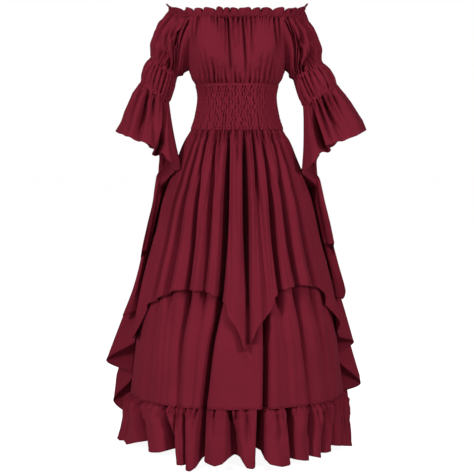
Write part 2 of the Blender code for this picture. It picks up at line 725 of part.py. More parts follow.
def under_panel(folds, centre, edge):
    """Shares its folds with the overskirt where that covers it, and has its own below."""
    rows = under_folds(folds, edge)
    stations = [(j, t) for j in range(len(rows) - 1) for t in BACK_STEPS]
    stations.append((len(rows) - 2, 1.0))
    grid = []
    for z in (Z_WAIST_BOTTOM - 0.003, -0.14, -0.24, -0.40, -0.56, -0.68, Z_RUFFLE_SEAM + SEAM / 2):
        points = []
        for j, t in stations:
            deg, out = skirt_place(rows, j, t, z, True)
            out -= read(SKIRT, "under", z)
            points.append(skirt_point(deg, z, out, centre))
        for end, inner in ((0, 1), (-1, -2)):
            step = points[inner] - points[end]
            points[end] = points[end] + step * (SEAM / 2 / np.linalg.norm(step))
        grid.append(points)
    return grid


def under_out(folds, edge, deg):
    """Displacement of the underskirt's lower edge at an angle."""
    rows = under_folds(folds, edge)
    places = [fold_degrees(row, Z_RUFFLE_SEAM) for row in rows]
    j = int(np.clip(np.searchsorted(places, deg) - 1, 0, len(rows) - 2))
    t = (deg - places[j]) / (places[j + 1] - places[j])
    return skirt_place(rows, j, t, Z_RUFFLE_SEAM, True)[1]


def ruffle_panel(gathers, folds, edge, centre):
    steps = (0.0, 0.2, 0.5, 0.8)
    stations = [(j, t) for j in range(len(gathers) - 1) for t in steps]
    stations.append((len(gathers) - 2, 1.0))
    grid = []
    for v in (0.0, 0.3, 1.0):
        points = []
        for j, t in stations:
            here, ahead = gathers[j], gathers[j + 1]
            top = here["top"] * (1 - t) + ahead["top"] * t
            low = here["hem"] * (1 - t) + ahead["hem"] * t
            deg = top * (1 - v) + low * v
            ridge = ridge_shape(t)
            valley_rise = here["rise"] * (1 - t) + ahead["rise"] * t
            rise = valley_rise * (1 - ridge) + here["next_rise"] * ridge
            low_z = SKIRT[-1]["z"] + rise * MM
            z = (Z_RUFFLE_SEAM - SEAM / 2) * (1 - v) + low_z * v
            depth = (here["depth"] * (1 - t) + ahead["depth"] * t) * MM
            out = under_out(folds, edge, top) * (1 - smooth_step(v * 1.5))
            out -= depth * (0.12 + 0.88 * smooth_step(v * 1.1)) * (1 - ridge)
            points.append(skirt_point(deg, z, out, centre))
        for end, inner in ((0, 1), (-1, -2)):
            step = points[inner] - points[end]
            points[end] = points[end] + step * (SEAM / 2 / np.linalg.norm(step))
        grid.append(points)
    return grid


def cascade_panel(side, sign, columns):
    knots = CASCADE[side]
    at = np.linspace(0, 1, len(knots))
    u = np.linspace(0, 1, columns)
    front_depth = FRONT_FOLDS[-1 if side == "left" else 0]["over"]
    back_depth = BACK_FOLDS[0 if side == "left" else -1]["over"]
    grid = []
    for v in SKIRT_ROWS:
        points = []
        for x in u:
            deg = curve(at, [k["deg"] for k in knots], x)
            hem = curve(at, [k["hem"] for k in knots], x)
            stand = curve(at, [k["out"] for k in knots], x) * MM
            z = (Z_WAIST_BOTTOM - SEAM / 2) * (1 - v) + hem * v
            grow = np.clip((-0.50 - z) / 0.285, 0.0, 1.25)
            edge = curve(FOLD_LEVELS[:3], front_depth, z) * (1 - x) + curve(FOLD_LEVELS[:3], back_depth, z) * x
            edge *= MM * max(0.0, 1 - min(x, 1 - x) * 9)
            points.append(skirt_point(deg * sign, z, stand * grow - edge))
        for end, inner in ((0, 1), (-1, -2)):
            step = points[inner] - points[end]
            points[end] = points[end] + step * (SEAM / 2 / np.linalg.norm(step))
        grid.append(points)
    return grid


# ---------------------------------------------------------------- the gown

for thing in list(bpy.data.objects):
    bpy.data.objects.remove(thing, do_unlink=True)

cloth = bpy.data.materials.new("burgundy_cloth")
cloth.use_nodes = True
cloth.diffuse_color = CLOTH
shader = cloth.node_tree.nodes["Principled BSDF"]
shader.inputs["Base Color"].default_value = CLOTH
shader.inputs["Roughness"].default_value = 0.85

wall("neck_casing", neck_ring(), closed=True, level=True)
wall("bodice_front", bodice_panel(True, 15), level=True, ratio=BODY_RATIO)
wall("bodice_back", bodice_panel(False, 13), level=True, ratio=BODY_RATIO)
wall("waist_front", waist_panel(True, 13, 8), level=True, ratio=BODY_RATIO)
wall("waist_back", waist_panel(False, 11, 6), level=True, ratio=BODY_RATIO)

for side, sign in (("right", -1), ("left", 1)):
    lines, facing, away = sleeve_grid(side, sign)
    wall("sleeve_" + side, lines, closed=True, outward={0: facing, len(lines) - 1: away})
    bell, away, hem_away = flounce_grid(side, sign, 24)
    wall("flounce_" + side, bell, closed=True, outward={0: away, len(bell) - 1: hem_away})
    train, facing = train_grid(side, sign, bell, hem_away)
    wall("train_" + side, train, level=True, outward={0: facing}, turned=True)
    wall("overskirt_side_" + side, cascade_panel(side, sign, 19), level=True, ratio=SKIRT_RATIO)

wall("overskirt_front", over_panel(FRONT_FOLDS, FRONT_HEM, 0.0, OVER_STEPS), level=True, ratio=SKIRT_RATIO)
wall("overskirt_back", over_panel(BACK_FOLDS, BACK_HEM, 180.0, BACK_STEPS), level=True, ratio=SKIRT_RATIO)
wall("underskirt_front", under_panel(FRONT_FOLDS, 0.0, 90.0), level=True, ratio=SKIRT_RATIO)
wall("underskirt_back", under_panel(BACK_FOLDS, 180.0, 90.0), level=True, ratio=SKIRT_RATIO)
wall("hem_ruffle_front", ruffle_panel(RUFFLE_FRONT, FRONT_FOLDS, 90.0, 0.0), level=True, ratio=SKIRT_RATIO)
wall("hem_ruffle_back", ruffle_panel(RUFFLE_BACK, BACK_FOLDS, 90.0, 180.0), level=True, ratio=SKIRT_RATIO)
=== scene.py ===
"""Looks of the gown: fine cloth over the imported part, with its gathers, shirring, hems and
smaller folds, on a plain floor in soft light. Metres; the part's own frame."""

import math

import bpy
import numpy as np
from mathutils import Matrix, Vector


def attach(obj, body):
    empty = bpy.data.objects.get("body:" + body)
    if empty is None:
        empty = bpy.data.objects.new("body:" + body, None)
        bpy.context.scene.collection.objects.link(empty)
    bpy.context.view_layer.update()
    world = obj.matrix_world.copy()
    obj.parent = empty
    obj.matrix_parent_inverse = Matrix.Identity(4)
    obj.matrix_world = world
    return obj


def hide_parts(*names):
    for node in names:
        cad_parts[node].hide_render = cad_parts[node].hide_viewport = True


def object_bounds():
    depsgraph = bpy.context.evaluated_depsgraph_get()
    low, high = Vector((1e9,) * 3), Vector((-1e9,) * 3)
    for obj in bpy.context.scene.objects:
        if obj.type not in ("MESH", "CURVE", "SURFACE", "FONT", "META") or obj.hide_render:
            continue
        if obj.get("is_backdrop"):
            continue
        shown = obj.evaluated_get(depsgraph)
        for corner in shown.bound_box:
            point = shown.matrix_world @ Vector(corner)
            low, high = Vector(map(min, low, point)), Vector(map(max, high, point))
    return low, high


MM = 0.001

Z_BODICE_TOP = 0.2365  # seam of the neck casing at the centre front
Z_SHOULDER_RISE = 0.0255  # how much higher that seam is over the arm
Z_WAIST_TOP = 0.034  # bodice to shirred panel
Z_WAIST_BOTTOM = -0.097  # shirred panel to skirts
Z_RUFFLE_SEAM = -0.888
NECK_HEIGHT = 0.0155  # casing with its heading
SIDE_SEAM_FRONT = 66.0  # degrees round from the centre, overskirt front to side corner
SIDE_SEAM_BACK = 54.0  # the same, from the centre back

# Body of the gown, level by level. `power` is the exponent of the super-ellipse,
# `armhole` the angle from the centre at which the sleeve seam crosses that level.
BODY = [
    # z, half_width, front_depth, back_depth, power, armhole
    dict(z=0.2365, half_width=0.200, front=0.115, back=0.108, power=2.45, armhole=37.8),
    dict(z=0.200, half_width=0.178, front=0.122, back=0.108, power=2.40, armhole=46.9),
    dict(z=0.160, half_width=0.160, front=0.128, back=0.107, power=2.35, armhole=58.0),
    dict(z=0.120, half_width=0.150, front=0.127, back=0.105, power=2.30, armhole=68.0),
    dict(z=0.092, half_width=0.1455, front=0.121, back=0.103, power=2.25, armhole=76.0),
    dict(z=0.079, half_width=0.1435, front=0.117, back=0.102, power=2.20, armhole=90.0),
    dict(z=0.034, half_width=0.1235, front=0.099, back=0.092, power=2.10, armhole=90.0),
    dict(z=0.000, half_width=0.1178, front=0.090, back=0.087, power=2.05, armhole=90.0),
    dict(z=-0.057, half_width=0.1260, front=0.096, back=0.094, power=2.00, armhole=90.0),
    dict(z=-0.097, half_width=0.1390, front=0.106, back=0.104, power=2.00, armhole=90.0),
]

# Envelope of the skirts, level by level. `under` is how far inside it the underskirt hangs.
SKIRT = [
    dict(z=-0.097, half_width=0.139, half_depth=0.105, under=0.007),
    dict(z=-0.115, half_width=0.150, half_depth=0.114, under=0.008),
    dict(z=-0.140, half_width=0.163, half_depth=0.124, under=0.009),
    dict(z=-0.170, half_width=0.1745, half_depth=0.135, under=0.009),
    dict(z=-0.210, half_width=0.191, half_depth=0.150, under=0.009),
    dict(z=-0.255, half_width=0.206, half_depth=0.166, under=0.009),
    dict(z=-0.306, half_width=0.225, half_depth=0.184, under=0.009),
    dict(z=-0.430, half_width=0.254, half_depth=0.221, under=0.009),
    dict(z=-0.505, half_width=0.275, half_depth=0.242, under=0.010),
    dict(z=-0.585, half_width=0.292, half_depth=0.259, under=0.011),
    dict(z=-0.700, half_width=0.305, half_depth=0.277, under=0.006),
    dict(z=-0.850, half_width=0.318, half_depth=0.294, under=0.001),
    dict(z=-0.888, half_width=0.322, half_depth=0.299, under=0.000),
    dict(z=-1.054, half_width=0.349, half_depth=0.331, under=0.000),
]
FOLD_LEVELS = (-0.10, -0.35, -0.56, -0.72, -0.888)  # levels of the fold tables below

# Valleys between the folds of the skirts: where each lies (degrees from the centre) and how
# deep it is (mm), at the waist, half way, at the overskirt's hem and on the underskirt.
FRONT_FOLDS = [
    dict(fold="edge_r", deg=(-66, -66, -66, -66, -66), over=(4, 10, 10), under=(10, 12)),
    dict(fold="a0", deg=(-56, -56, -56, -56, -55), over=(4, 10, 12), under=(12, 14)),
    dict(fold="a", deg=(-45, -46, -46, -45, -44), over=(5, 15, 17), under=(10, 10)),
    dict(fold="b", deg=(-38, -32.5, -31, -33, -32), over=(7, 30, 33), under=(18, 14)),
    dict(fold="c", deg=(-25.6, -21, -20, -23, -24), over=(6, 22, 20), under=(8, 8)),
    dict(fold="d", deg=(-9.6, -9, -10, -15, -18), over=(8, 32, 34), under=(28, 26)),
    dict(fold="e", deg=(8.5, 7.2, 6.5, 6, 6), over=(8, 30, 22), under=(12, 8)),
    dict(fold="f", deg=(19, 16.5, 17, 16.4, 15), over=(6, 9, 12), under=(24, 28)),
    dict(fold="g", deg=(31, 27, 26, 29, 29), over=(7, 26, 28), under=(10, 8)),
    dict(fold="h", deg=(46, 38.5, 39, 40.5, 41.5), over=(7, 26, 28), under=(18, 18)),
    dict(fold="i", deg=(56, 53, 53, 56, 57), over=(4, 14, 15), under=(12, 12)),
    dict(fold="edge_l", deg=(66, 66, 66, 66, 66), over=(4, 12, 12), under=(10, 12)),
]
# Degrees here are measured from the centre back, + towards the wearer's right.
BACK_FOLDS = [
    dict(fold="edge_l", deg=(-54, -54, -54, -54, -54), over=(4, 12, 12), under=(10, 12)),
    dict(fold="k", deg=(-42, -43, -44, -45, -45), over=(6, 18, 18), under=(14, 14)),
    dict(fold="l", deg=(-27, -30, -31, -31, -33), over=(7, 26, 30), under=(20, 20)),
    dict(fold="m", deg=(-15, -14, -15, -16, -17), over=(6, 20, 22), under=(14, 12)),
    dict(fold="n", deg=(1, 2, 3, 2, 1), over=(8, 28, 26), under=(20, 22)),
    dict(fold="o", deg=(16, 17, 16, 15, 16), over=(6, 18, 20), under=(12, 12)),
    dict(fold="p", deg=(28, 30, 32, 33, 32), over=(7, 28, 30), under=(22, 20)),
    dict(fold="q", deg=(43, 42, 43, 44, 45), over=(6, 16, 16), under=(12, 12)),
    dict(fold="edge_r", deg=(54, 54, 54, 54, 54), over=(4, 12, 12), under=(10, 12)),
]
# Hem of the overskirt: how low it hangs, by the angle from the centre.
FRONT_HEM = [
    dict(deg=-66, z=-0.622),
    dict(deg=-59, z=-0.602),
    dict(deg=-51, z=-0.584),
    dict(deg=-38.5, z=-0.559),
    dict(deg=-28, z=-0.556),
    dict(deg=-16.6, z=-0.561),
    dict(deg=-10, z=-0.577),
    dict(deg=-5.2, z=-0.596),
    dict(deg=-3.6, z=-0.630),
    dict(deg=0, z=-0.650),
    dict(deg=2.5, z=-0.672),
    dict(deg=5.0, z=-0.728),
    dict(deg=6.8, z=-0.714),
    dict(deg=11, z=-0.657),
    dict(deg=16, z=-0.632),
    dict(deg=18.7, z=-0.615),
    dict(deg=21.5, z=-0.575),
    dict(deg=25.4, z=-0.560),
    dict(deg=32, z=-0.550),
    dict(deg=43, z=-0.546),
    dict(deg=55.5, z=-0.556),
    dict(deg=60, z=-0.575),
    dict(deg=66, z=-0.612),
]
BACK_HEM = [
    dict(deg=-54, z=-0.610),
    dict(deg=-40, z=-0.572),
    dict(deg=-24, z=-0.560),
    dict(deg=-10, z=-0.610),
    dict(deg=0, z=-0.690),
    dict(deg=3, z=-0.700),
    dict(deg=13, z=-0.605),
    dict(deg=26, z=-0.562),
    dict(deg=40, z=-0.570),
    dict(deg=54, z=-0.610),
]
POINT_LIFT = [  # how far the centre points stand off the underskirt (mm)
    dict(z=-0.50, lift=0.0),
    dict(z=-0.60, lift=7.0),
    dict(z=-0.74, lift=19.0),
]

# Side corners of the overskirt: the folds of the cascade from the front seam to the back one.
# deg from the centre front, `out` how far the fold stands off the skirt (mm), hem its end.
CASCADE = dict(
    right=[  # the wearer's right, on -X
        dict(fold="seam_front", deg=66, out=0, hem=-0.622),
        dict(fold="ridge_1", deg=74, out=18, hem=-0.712),
        dict(fold="valley_1", deg=79, out=2, hem=-0.716),
        dict(fold="flat_1", deg=91, out=2, hem=-0.735),
        dict(fold="ridge_2", deg=99, out=86, hem=-0.798),
        dict(fold="valley_2", deg=103, out=10, hem=-0.850),
        dict(fold="ridge_3", deg=108, out=62, hem=-0.935),
        dict(fold="valley_3", deg=113, out=14, hem=-0.984),
        dict(fold="ridge_4", deg=118, out=44, hem=-0.872),
        dict(fold="seam_back", deg=126, out=0, hem=-0.610),
    ],
    left=[
        dict(fold="seam_front", deg=66, out=0, hem=-0.612),
        dict(fold="ridge_1", deg=74, out=32, hem=-0.662),
        dict(fold="valley_1", deg=79, out=2, hem=-0.700),
        dict(fold="flat_1", deg=91, out=2, hem=-0.720),
        dict(fold="ridge_2", deg=99, out=60, hem=-0.744),
        dict(fold="valley_2", deg=103, out=6, hem=-0.796),
        dict(fold="ridge_3", deg=107, out=66, hem=-0.880),
        dict(fold="valley_3", deg=112, out=10, hem=-0.918),
        dict(fold="ridge_4", deg=117, out=52, hem=-0.990),
        dict(fold="seam_back", deg=126, out=0, hem=-0.610),
    ],
)

# Hem ruffle: valleys of its gathers (degrees, top and hem), their depth (mm) and the
# height of the hem there and on the fold that follows (mm above the lowest level).
RUFFLE_FRONT = [
    dict(top=-90, hem=-90, depth=16, rise=12, next_rise=14),
    dict(top=-77, hem=-79, depth=26, rise=18, next_rise=10),
    dict(top=-65, hem=-64, depth=40, rise=22, next_rise=8),
    dict(top=-53, hem=-51, depth=34, rise=34, next_rise=10),
    dict(top=-42, hem=-37, depth=42, rise=30, next_rise=4),
    dict(top=-30, hem=-31, depth=26, rise=24, next_rise=-6),
    dict(top=-18.3, hem=-17.6, depth=46, rise=26, next_rise=4),
    dict(top=-3.5, hem=-4, depth=30, rise=22, next_rise=0),
    dict(top=14.7, hem=13.2, depth=46, rise=32, next_rise=4),
    dict(top=31, hem=29.5, depth=36, rise=22, next_rise=6),
    dict(top=44, hem=44, depth=24, rise=18, next_rise=8),
    dict(top=55, hem=53, depth=24, rise=22, next_rise=6),
    dict(top=67, hem=64, depth=38, rise=24, next_rise=6),
    dict(top=79, hem=80, depth=24, rise=18, next_rise=8),
    dict(top=90, hem=90, depth=16, rise=12, next_rise=8),
]
RUFFLE_BACK = [
    dict(top=-90, hem=-90, depth=16, rise=12, next_rise=6),
    dict(top=-74, hem=-76, depth=30, rise=18, next_rise=8),
    dict(top=-59, hem=-57, depth=38, rise=24, next_rise=4),
    dict(top=-41, hem=-42, depth=28, rise=16, next_rise=6),
    dict(top=-24, hem=-25, depth=42, rise=24, next_rise=2),
    dict(top=-6, hem=-4, depth=34, rise=18, next_rise=6),
    dict(top=11, hem=13, depth=40, rise=24, next_rise=2),
    dict(top=29, hem=28, depth=28, rise=16, next_rise=8),
    dict(top=46, hem=48, depth=40, rise=22, next_rise=4),
    dict(top=62, hem=61, depth=28, rise=18, next_rise=8),
    dict(top=76, hem=77, depth=30, rise=20, next_rise=14),
    dict(top=90, hem=90, depth=16, rise=12, next_rise=14),
]

# Elastic lines of the sleeves and hem of the bell: centre, half the width seen from the
# front, half the depth, and the fall of the line from its outer to its inner end (degrees).
ARM = dict(
    right=[
        dict(line="upper_elastic", x=0.2163, z=0.0862, half=0.0492, deep=0.047, tilt=34.6),
        dict(line="elbow_elastic", x=0.2434, z=0.0148, half=0.0516, deep=0.049, tilt=32.9),
        dict(line="bell_hem", x=0.2665, z=-0.1560, half=0.1160, deep=0.100, tilt=28.9, y=-0.020),
    ],
    left=[
        dict(line="upper_elastic", x=0.2103, z=0.0758, half=0.0517, deep=0.047, tilt=30.6),
        dict(line="elbow_elastic", x=0.2447, z=0.0048, half=0.0592, deep=0.050, tilt=32.0),
        dict(line="bell_hem", x=0.2900, z=-0.1570, half=0.1110, deep=0.100, tilt=31.0, y=-0.020),
    ],
)
PUFF = [  # swell of the cloth between two gathered lines (mm)
    dict(t=0.0, upper=0, middle=0),
    dict(t=0.12, upper=8, middle=3),
    dict(t=0.40, upper=17, middle=6),
    dict(t=0.75, upper=13, middle=5),
    dict(t=1.0, upper=0, middle=0),
]
BELL = [  # share of the way out to the hem ring, and depth of the flutes (mm)
    dict(t=0.0, flare=0.0, flute=0),
    dict(t=0.30, flare=0.24, flute=3),
    dict(t=0.65, flare=0.58, flute=8),
    dict(t=1.0, flare=1.0, flute=14),
]
BELL_FLUTES = 8
ELASTIC = 0.009  # width of an elastic line

# Hanging corner of the sleeve: nearest and farthest from the skirt at each level.
TRAIN_COURSE = dict(
    right=[
        dict(z=-0.230, near=0.205, far=0.238, y=0.016),
        dict(z=-0.300, near=0.229, far=0.248, y=0.008),
        dict(z=-0.375, near=0.247, far=0.268, y=0.004),
        dict(z=-0.435, near=0.262, far=0.281, y=0.002),
        dict(z=-0.500, near=0.281, far=0.292, y=0.0),
        dict(z=-0.573, near=0.299, far=0.311, y=0.0),
        dict(z=-0.660, near=0.313, far=0.345, y=0.0),
    ],
    left=[
        dict(z=-0.230, near=0.213, far=0.243, y=0.018),
        dict(z=-0.300, near=0.231, far=0.258, y=0.010),
        dict(z=-0.375, near=0.249, far=0.276, y=0.005),
        dict(z=-0.435, near=0.264, far=0.288, y=0.002),
        dict(z=-0.500, near=0.283, far=0.305, y=0.0),
        dict(z=-0.577, near=0.300, far=0.328, y=0.0),
        dict(z=-0.620, near=0.306, far=0.336, y=0.0),
    ],
)
# Its folds, from the inner edge in front to the one at the back: share of the way out,
# place along Y (mm) where it is full, and the hem (one column for each side).
TRAIN_FOLDS = [
    dict(fold="edge_1", out=0.15, along=-36, right=-0.462, left=-0.452),
    dict(fold="ridge_1", out=1.0, along=-29, right=-0.466, left=-0.437),
    dict(fold="valley_1", out=0.1, along=-14, right=-0.540, left=-0.500),
    dict(fold="ridge_2", out=1.0, along=2, right=-0.657, left=-0.578),
    dict(fold="valley_2", out=0.1, along=24, right=-0.652, left=-0.608),
    dict(fold="ridge_3", out=0.8, along=50, right=-0.600, left=-0.540),
    dict(fold="edge_2", out=0.1, along=80, right=-0.520, left=-0.480),
]

BODY_RATIO = 1.94  # square of width to depth, where the seams of the body cross it
SKIRT_RATIO = 1.30
SKIRT_CLEAR = 0.009  # how far a sleeve's cloth stays off the skirt's envelope
CLOTH = (0.125, 0.012, 0.026, 1.0)  # burgundy
def slopes_of(xs, ys):
    """Slopes of a curve that passes a table's rows without overshoot."""
    step = np.diff(ys) / np.diff(xs)
    slopes = np.zeros(len(xs))
    for i in range(1, len(xs) - 1):
        if step[i - 1] * step[i] > 0:
            slopes[i] = 2 * step[i - 1] * step[i] / (step[i - 1] + step[i])
    slopes[0], slopes[-1] = step[0], step[-1]
    return slopes


def curve(xs, ys, x):
    """Smooth reading of ys at x; past either end it stays at the last value."""
    xs, ys = np.asarray(xs, float), np.asarray(ys, float)
    if xs[0] > xs[-1]:
        xs, ys = xs[::-1], ys[::-1]
    slopes = slopes_of(xs, ys)
    x = np.clip(x, xs[0], xs[-1])
    i = np.clip(np.searchsorted(xs, x) - 1, 0, len(xs) - 2)
    h = xs[i + 1] - xs[i]
    t = (x - xs[i]) / h
    return (
        ys[i] * (2 * t**3 - 3 * t**2 + 1)
        + ys[i + 1] * (3 * t**2 - 2 * t**3)
        + h * slopes[i] * (t**3 - 2 * t**2 + t)
        + h * slopes[i + 1] * (t**3 - t**2)
    )


def read(table, key, x, by="z"):
    return curve([row[by] for row in table], [row[key] for row in table], x)


def read_straight(table, key, x, by):
    xs = [row[by] for row in table]
    return np.interp(x, xs, [row[key] for row in table])


def smooth_step(x):
    x = np.clip(x, 0.0, 1.0)
    return x * x * (3 - 2 * x)



def facing_out(points, ratio):
    """Directions square to an ellipse whose sides are in this ratio, squared."""
    away = np.asarray(points, float) * np.array([1.0, ratio, 0.0])
    return away / np.linalg.norm(away, axis=-1, keepdims=True)


def neck_level(deg):
    """Height of the casing's seam round the neckline."""
    off = abs((deg + 180) % 360 - 180)
    off = min(off, 180 - off)
    rise = smooth_step((off - 37.8) / 52.2)
    return Z_BODICE_TOP + Z_SHOULDER_RISE * rise


def arm_ring(row, sign, turn, drop=0.0, extra=0.0):
    """Ring of an elastic line. turn 0 is at the body, 90 in front, 180 outside."""
    tilt = math.radians(row["tilt"])
    outward = np.array([sign * math.cos(tilt), 0.0, math.sin(tilt)])
    down = np.array([sign * math.sin(tilt), 0.0, -math.cos(tilt)])
    centre = np.array([sign * row["x"], row.get("y", 0.0), row["z"]]) + drop * down
    turn = np.radians(turn)[:, None]
    ring = (
        centre
        - (row["half"] + extra) * np.cos(turn) * outward
        - (row["deep"] + extra) * np.sin(turn) * np.array([0.0, 1.0, 0.0])
    )
    away = ring - centre
    return ring, away / np.linalg.norm(away, axis=1, keepdims=True)


DETAIL = 1.0
CLOTH_WALL = 0.0013  # m


# ---------------------------------------------------------------- sheets

def hashed(*numbers):
    """A steady number from 0 to 1 for these whole numbers."""
    total = 0.0
    for k, number in enumerate(numbers):
        total += (number + 1.37) * (12.9898 + 65.147 * k)
    value = math.sin(total) * 43758.5453
    return value - math.floor(value)


def normals_of(grid, closed):
    if closed:
        wide = np.concatenate([grid[:, -1:], grid, grid[:, :1]], axis=1)
        across = (wide[:, 2:] - wide[:, :-2]) / 2
    else:
        across = np.gradient(grid, axis=1)
    along = np.gradient(grid, axis=0)
    normal = np.cross(across, along)
    length = np.linalg.norm(normal, axis=2, keepdims=True)
    normal = normal / np.maximum(length, 1e-12)
    away = grid - (grid.mean(axis=1, keepdims=True) if closed else np.zeros(3))
    away = away * np.array([1.0, 1.0, 0.0])
    return normal * np.sign((normal * away).sum())


def blur(values, width, axis=1, closed=False):
    """Softens a field of numbers by a bell of this many samples."""
    if width < 0.3:
        return values
    reach = int(math.ceil(width * 2.5))
    weights = np.exp(-0.5 * (np.arange(-reach, reach + 1) / width) ** 2)
    weights /= weights.sum()
    pad = [(0, 0)] * values.ndim
    pad[axis] = (reach, reach)
    wide = np.pad(values, pad, mode="wrap" if closed else "edge")
    total = np.zeros_like(values)
    count = values.shape[axis]
    for k, weight in enumerate(weights):
        part = [slice(None)] * values.ndim
        part[axis] = slice(k, k + count)
        total += weight * wide[tuple(part)]
    return total


def sheet_mesh(name, grid, closed=False, thick=CLOTH_WALL, turned=False):
    """A thin wall through the points, closed all round unless `thick` is 0, where the cloth's
    edge is sewn to the next piece. Texture coordinates are metres of cloth."""
    grid = np.asarray(grid, float)
    normal = normals_of(grid, closed) * (-1 if turned else 1)
    inner = grid - thick * normal
    rows, columns = grid.shape[:2]
    points = grid.reshape(-1, 3)
    index = np.arange(rows * columns).reshape(rows, columns)
    if closed:
        index = np.concatenate([index, index[:, :1]], axis=1)
    a, b = index[:-1, :-1], index[:-1, 1:]
    c, d = index[1:, 1:], index[1:, :-1]
    outer = np.stack([a, b, c, d], axis=-1).reshape(-1, 4)
    faces = [outer]
    if thick:
        points = np.concatenate([points, inner.reshape(-1, 3)])
        shift = rows * columns
        faces.append(outer[:, ::-1] + shift)
        for i, way in ((0, 1), (rows - 1, -1)):
            e, f = index[i, :-1], index[i, 1:]
            rim = np.stack([e, e + shift, f + shift, f], axis=-1)
            faces.append(rim[:, ::way])
        if not closed:
            for j, way in ((0, -1), (columns - 1, 1)):
                e, f = index[:-1, j], index[1:, j]
                rim = np.stack([e, e + shift, f + shift, f], axis=-1)
                faces.append(rim[:, ::way])
    faces = np.concatenate(faces)
    # face the outer side outwards
    middle = outer[len(outer) // 2]
    p = points[middle]
    flat = np.cross(p[1] - p[0], p[3] - p[0])
    k = int(middle[0])
    if np.dot(flat, normal.reshape(-1, 3)[k]) < 0:
        faces = faces[:, ::-1]
    mesh = bpy.data.meshes.new(name)
    mesh.vertices.add(len(points))
    mesh.vertices.foreach_set("co", points.astype(np.float32).ravel())
    mesh.loops.add(faces.size)
    mesh.loops.foreach_set("vertex_index", faces.astype(np.int32).ravel())
    mesh.polygons.add(len(faces))
    mesh.polygons.foreach_set("loop_start", np.arange(0, faces.size, 4, dtype=np.int32))
    mesh.polygons.foreach_set("loop_total", np.full(len(faces), 4, dtype=np.int32))
    mesh.update(calc_edges=True)
    # texture coordinates: metres across and along the cloth
    across = np.linalg.norm(np.diff(grid, axis=1), axis=2)
    across = np.concatenate([np.zeros((rows, 1)), np.cumsum(across, axis=1)], axis=1)
    across = np.repeat(across.mean(axis=0, keepdims=True), rows, axis=0)
    along = np.linalg.norm(np.diff(grid, axis=0), axis=2)
    along = np.concatenate([np.zeros((1, columns)), np.cumsum(along, axis=0)], axis=0)
    flat = np.stack([across, along], axis=-1).reshape(-1, 2)
    if thick:
        flat = np.concatenate([flat, flat])
    layer = mesh.uv_layers.new(name="UVMap")
    layer.data.foreach_set("uv", flat[faces.ravel()].astype(np.float32).ravel())
    mesh.polygons.foreach_set("use_smooth", np.ones(len(faces), dtype=bool))
    mesh.validate()
    mesh.update()
    thing = bpy.data.objects.new(name, mesh)
    bpy.context.scene.collection.objects.link(thing)
    thing.data.materials.append(cloth)
    return thing


def spread(count, lo=0.0, hi=1.0):
    return np.linspace(lo, hi, max(4, int(round(count * DETAIL))))


# ---------------------------------------------------------------- relief

def grooves(u, z, rows):
    """Sum of valleys. Each row: at (u), wide (u) and deep (m) at two heights, and the
    height where it fades out."""
    total = np.zeros(np.broadcast(u, z).shape)
    for row in rows:
        share = np.clip((row["z0"] - z) / (row["z0"] - row["z1"]), 0, 1)
        wide = row["wide0"] + (row["wide1"] - row["wide0"]) * share
        at = row["at0"] + (row["at1"] - row["at0"]) * share
        deep = row["deep0"] * (1 - share) ** row.get("fade", 1.0) + row.get("deep1", 0.0) * share
        before = z > row["z0"] + 1e-9
        deep = np.where(before, 0.0, deep)
        x = (u - at) / wide
        total -= deep * np.exp(-x * x)
    return total


def gather_rows(count, lo, hi, z0, reach, deep, wide, seed, sway=0.4, wide_low=2.0, fade=1.3):
    """Many small uneven tucks from a gathered line at height z0; reach is negative upwards."""
    rows = []
    pitch = (hi - lo) / count
    for k in range(count):
        r = [hashed(k, seed, n) for n in range(5)]
        at = lo + pitch * (k + 0.5 + 0.55 * (r[0] - 0.5))
        rows.append(
            dict(
                at0=at,
                at1=at + sway * pitch * (r[1] - 0.5),
                z0=z0,
                z1=z0 - reach * (0.45 + 0.9 * r[2]),
                wide0=wide * pitch * (0.7 + 0.6 * r[3]),
                wide1=wide * pitch * wide_low * (0.7 + 0.6 * r[3]),
                deep0=deep * (0.5 + 0.9 * r[4]),
                fade=fade,
            )
        )
    return rows


def ripple(u, v, seed, waves, drift=1.0):
    """Soft uneven undulation: a few waves across u whose phase wanders along v."""
    total = 0.0
    weight = 0.0
    for k, (per, strength) in enumerate(waves):
        phase = 6.283 * hashed(k, seed, 1)
        wander = drift * (hashed(k, seed, 2) - 0.5) * 6.283
        bend = drift * 1.2 * np.sin(v * (2.0 + 3 * hashed(k, seed, 3)) + 6.283 * hashed(k, seed, 4))
        total = total + strength * np.sin(6.283 * u * per + phase + wander * v + bend)
        weight += strength
    return total / weight


# ---------------------------------------------------------------- skirts

def ring_point(deg, z, out, back=False):
    """Points round the skirt's envelope; arrays of one shape."""
    side = np.radians(deg)
    width = read(SKIRT, "half_width", z) + out
    depth = read(SKIRT, "half_depth", z) + out
    x = width * np.sin(side) * (-1 if back else 1)
    y = depth * np.cos(side) * (1 if back else -1)
    return np.stack([x, y, np.broadcast_to(z, x.shape)], axis=-1)


def stations_of(folds, per_fold):
    """Fold coordinates, closer together in the valleys."""
    steps = max(4, int(round(per_fold * DETAIL)))
    t = np.arange(steps) / steps
    t = 0.35 * t + 0.65 * (0.5 - 0.5 * np.cos(math.pi * t))
    u = np.concatenate([j + t for j in range(len(folds) - 1)] + [[len(folds) - 1.0]])
    return u


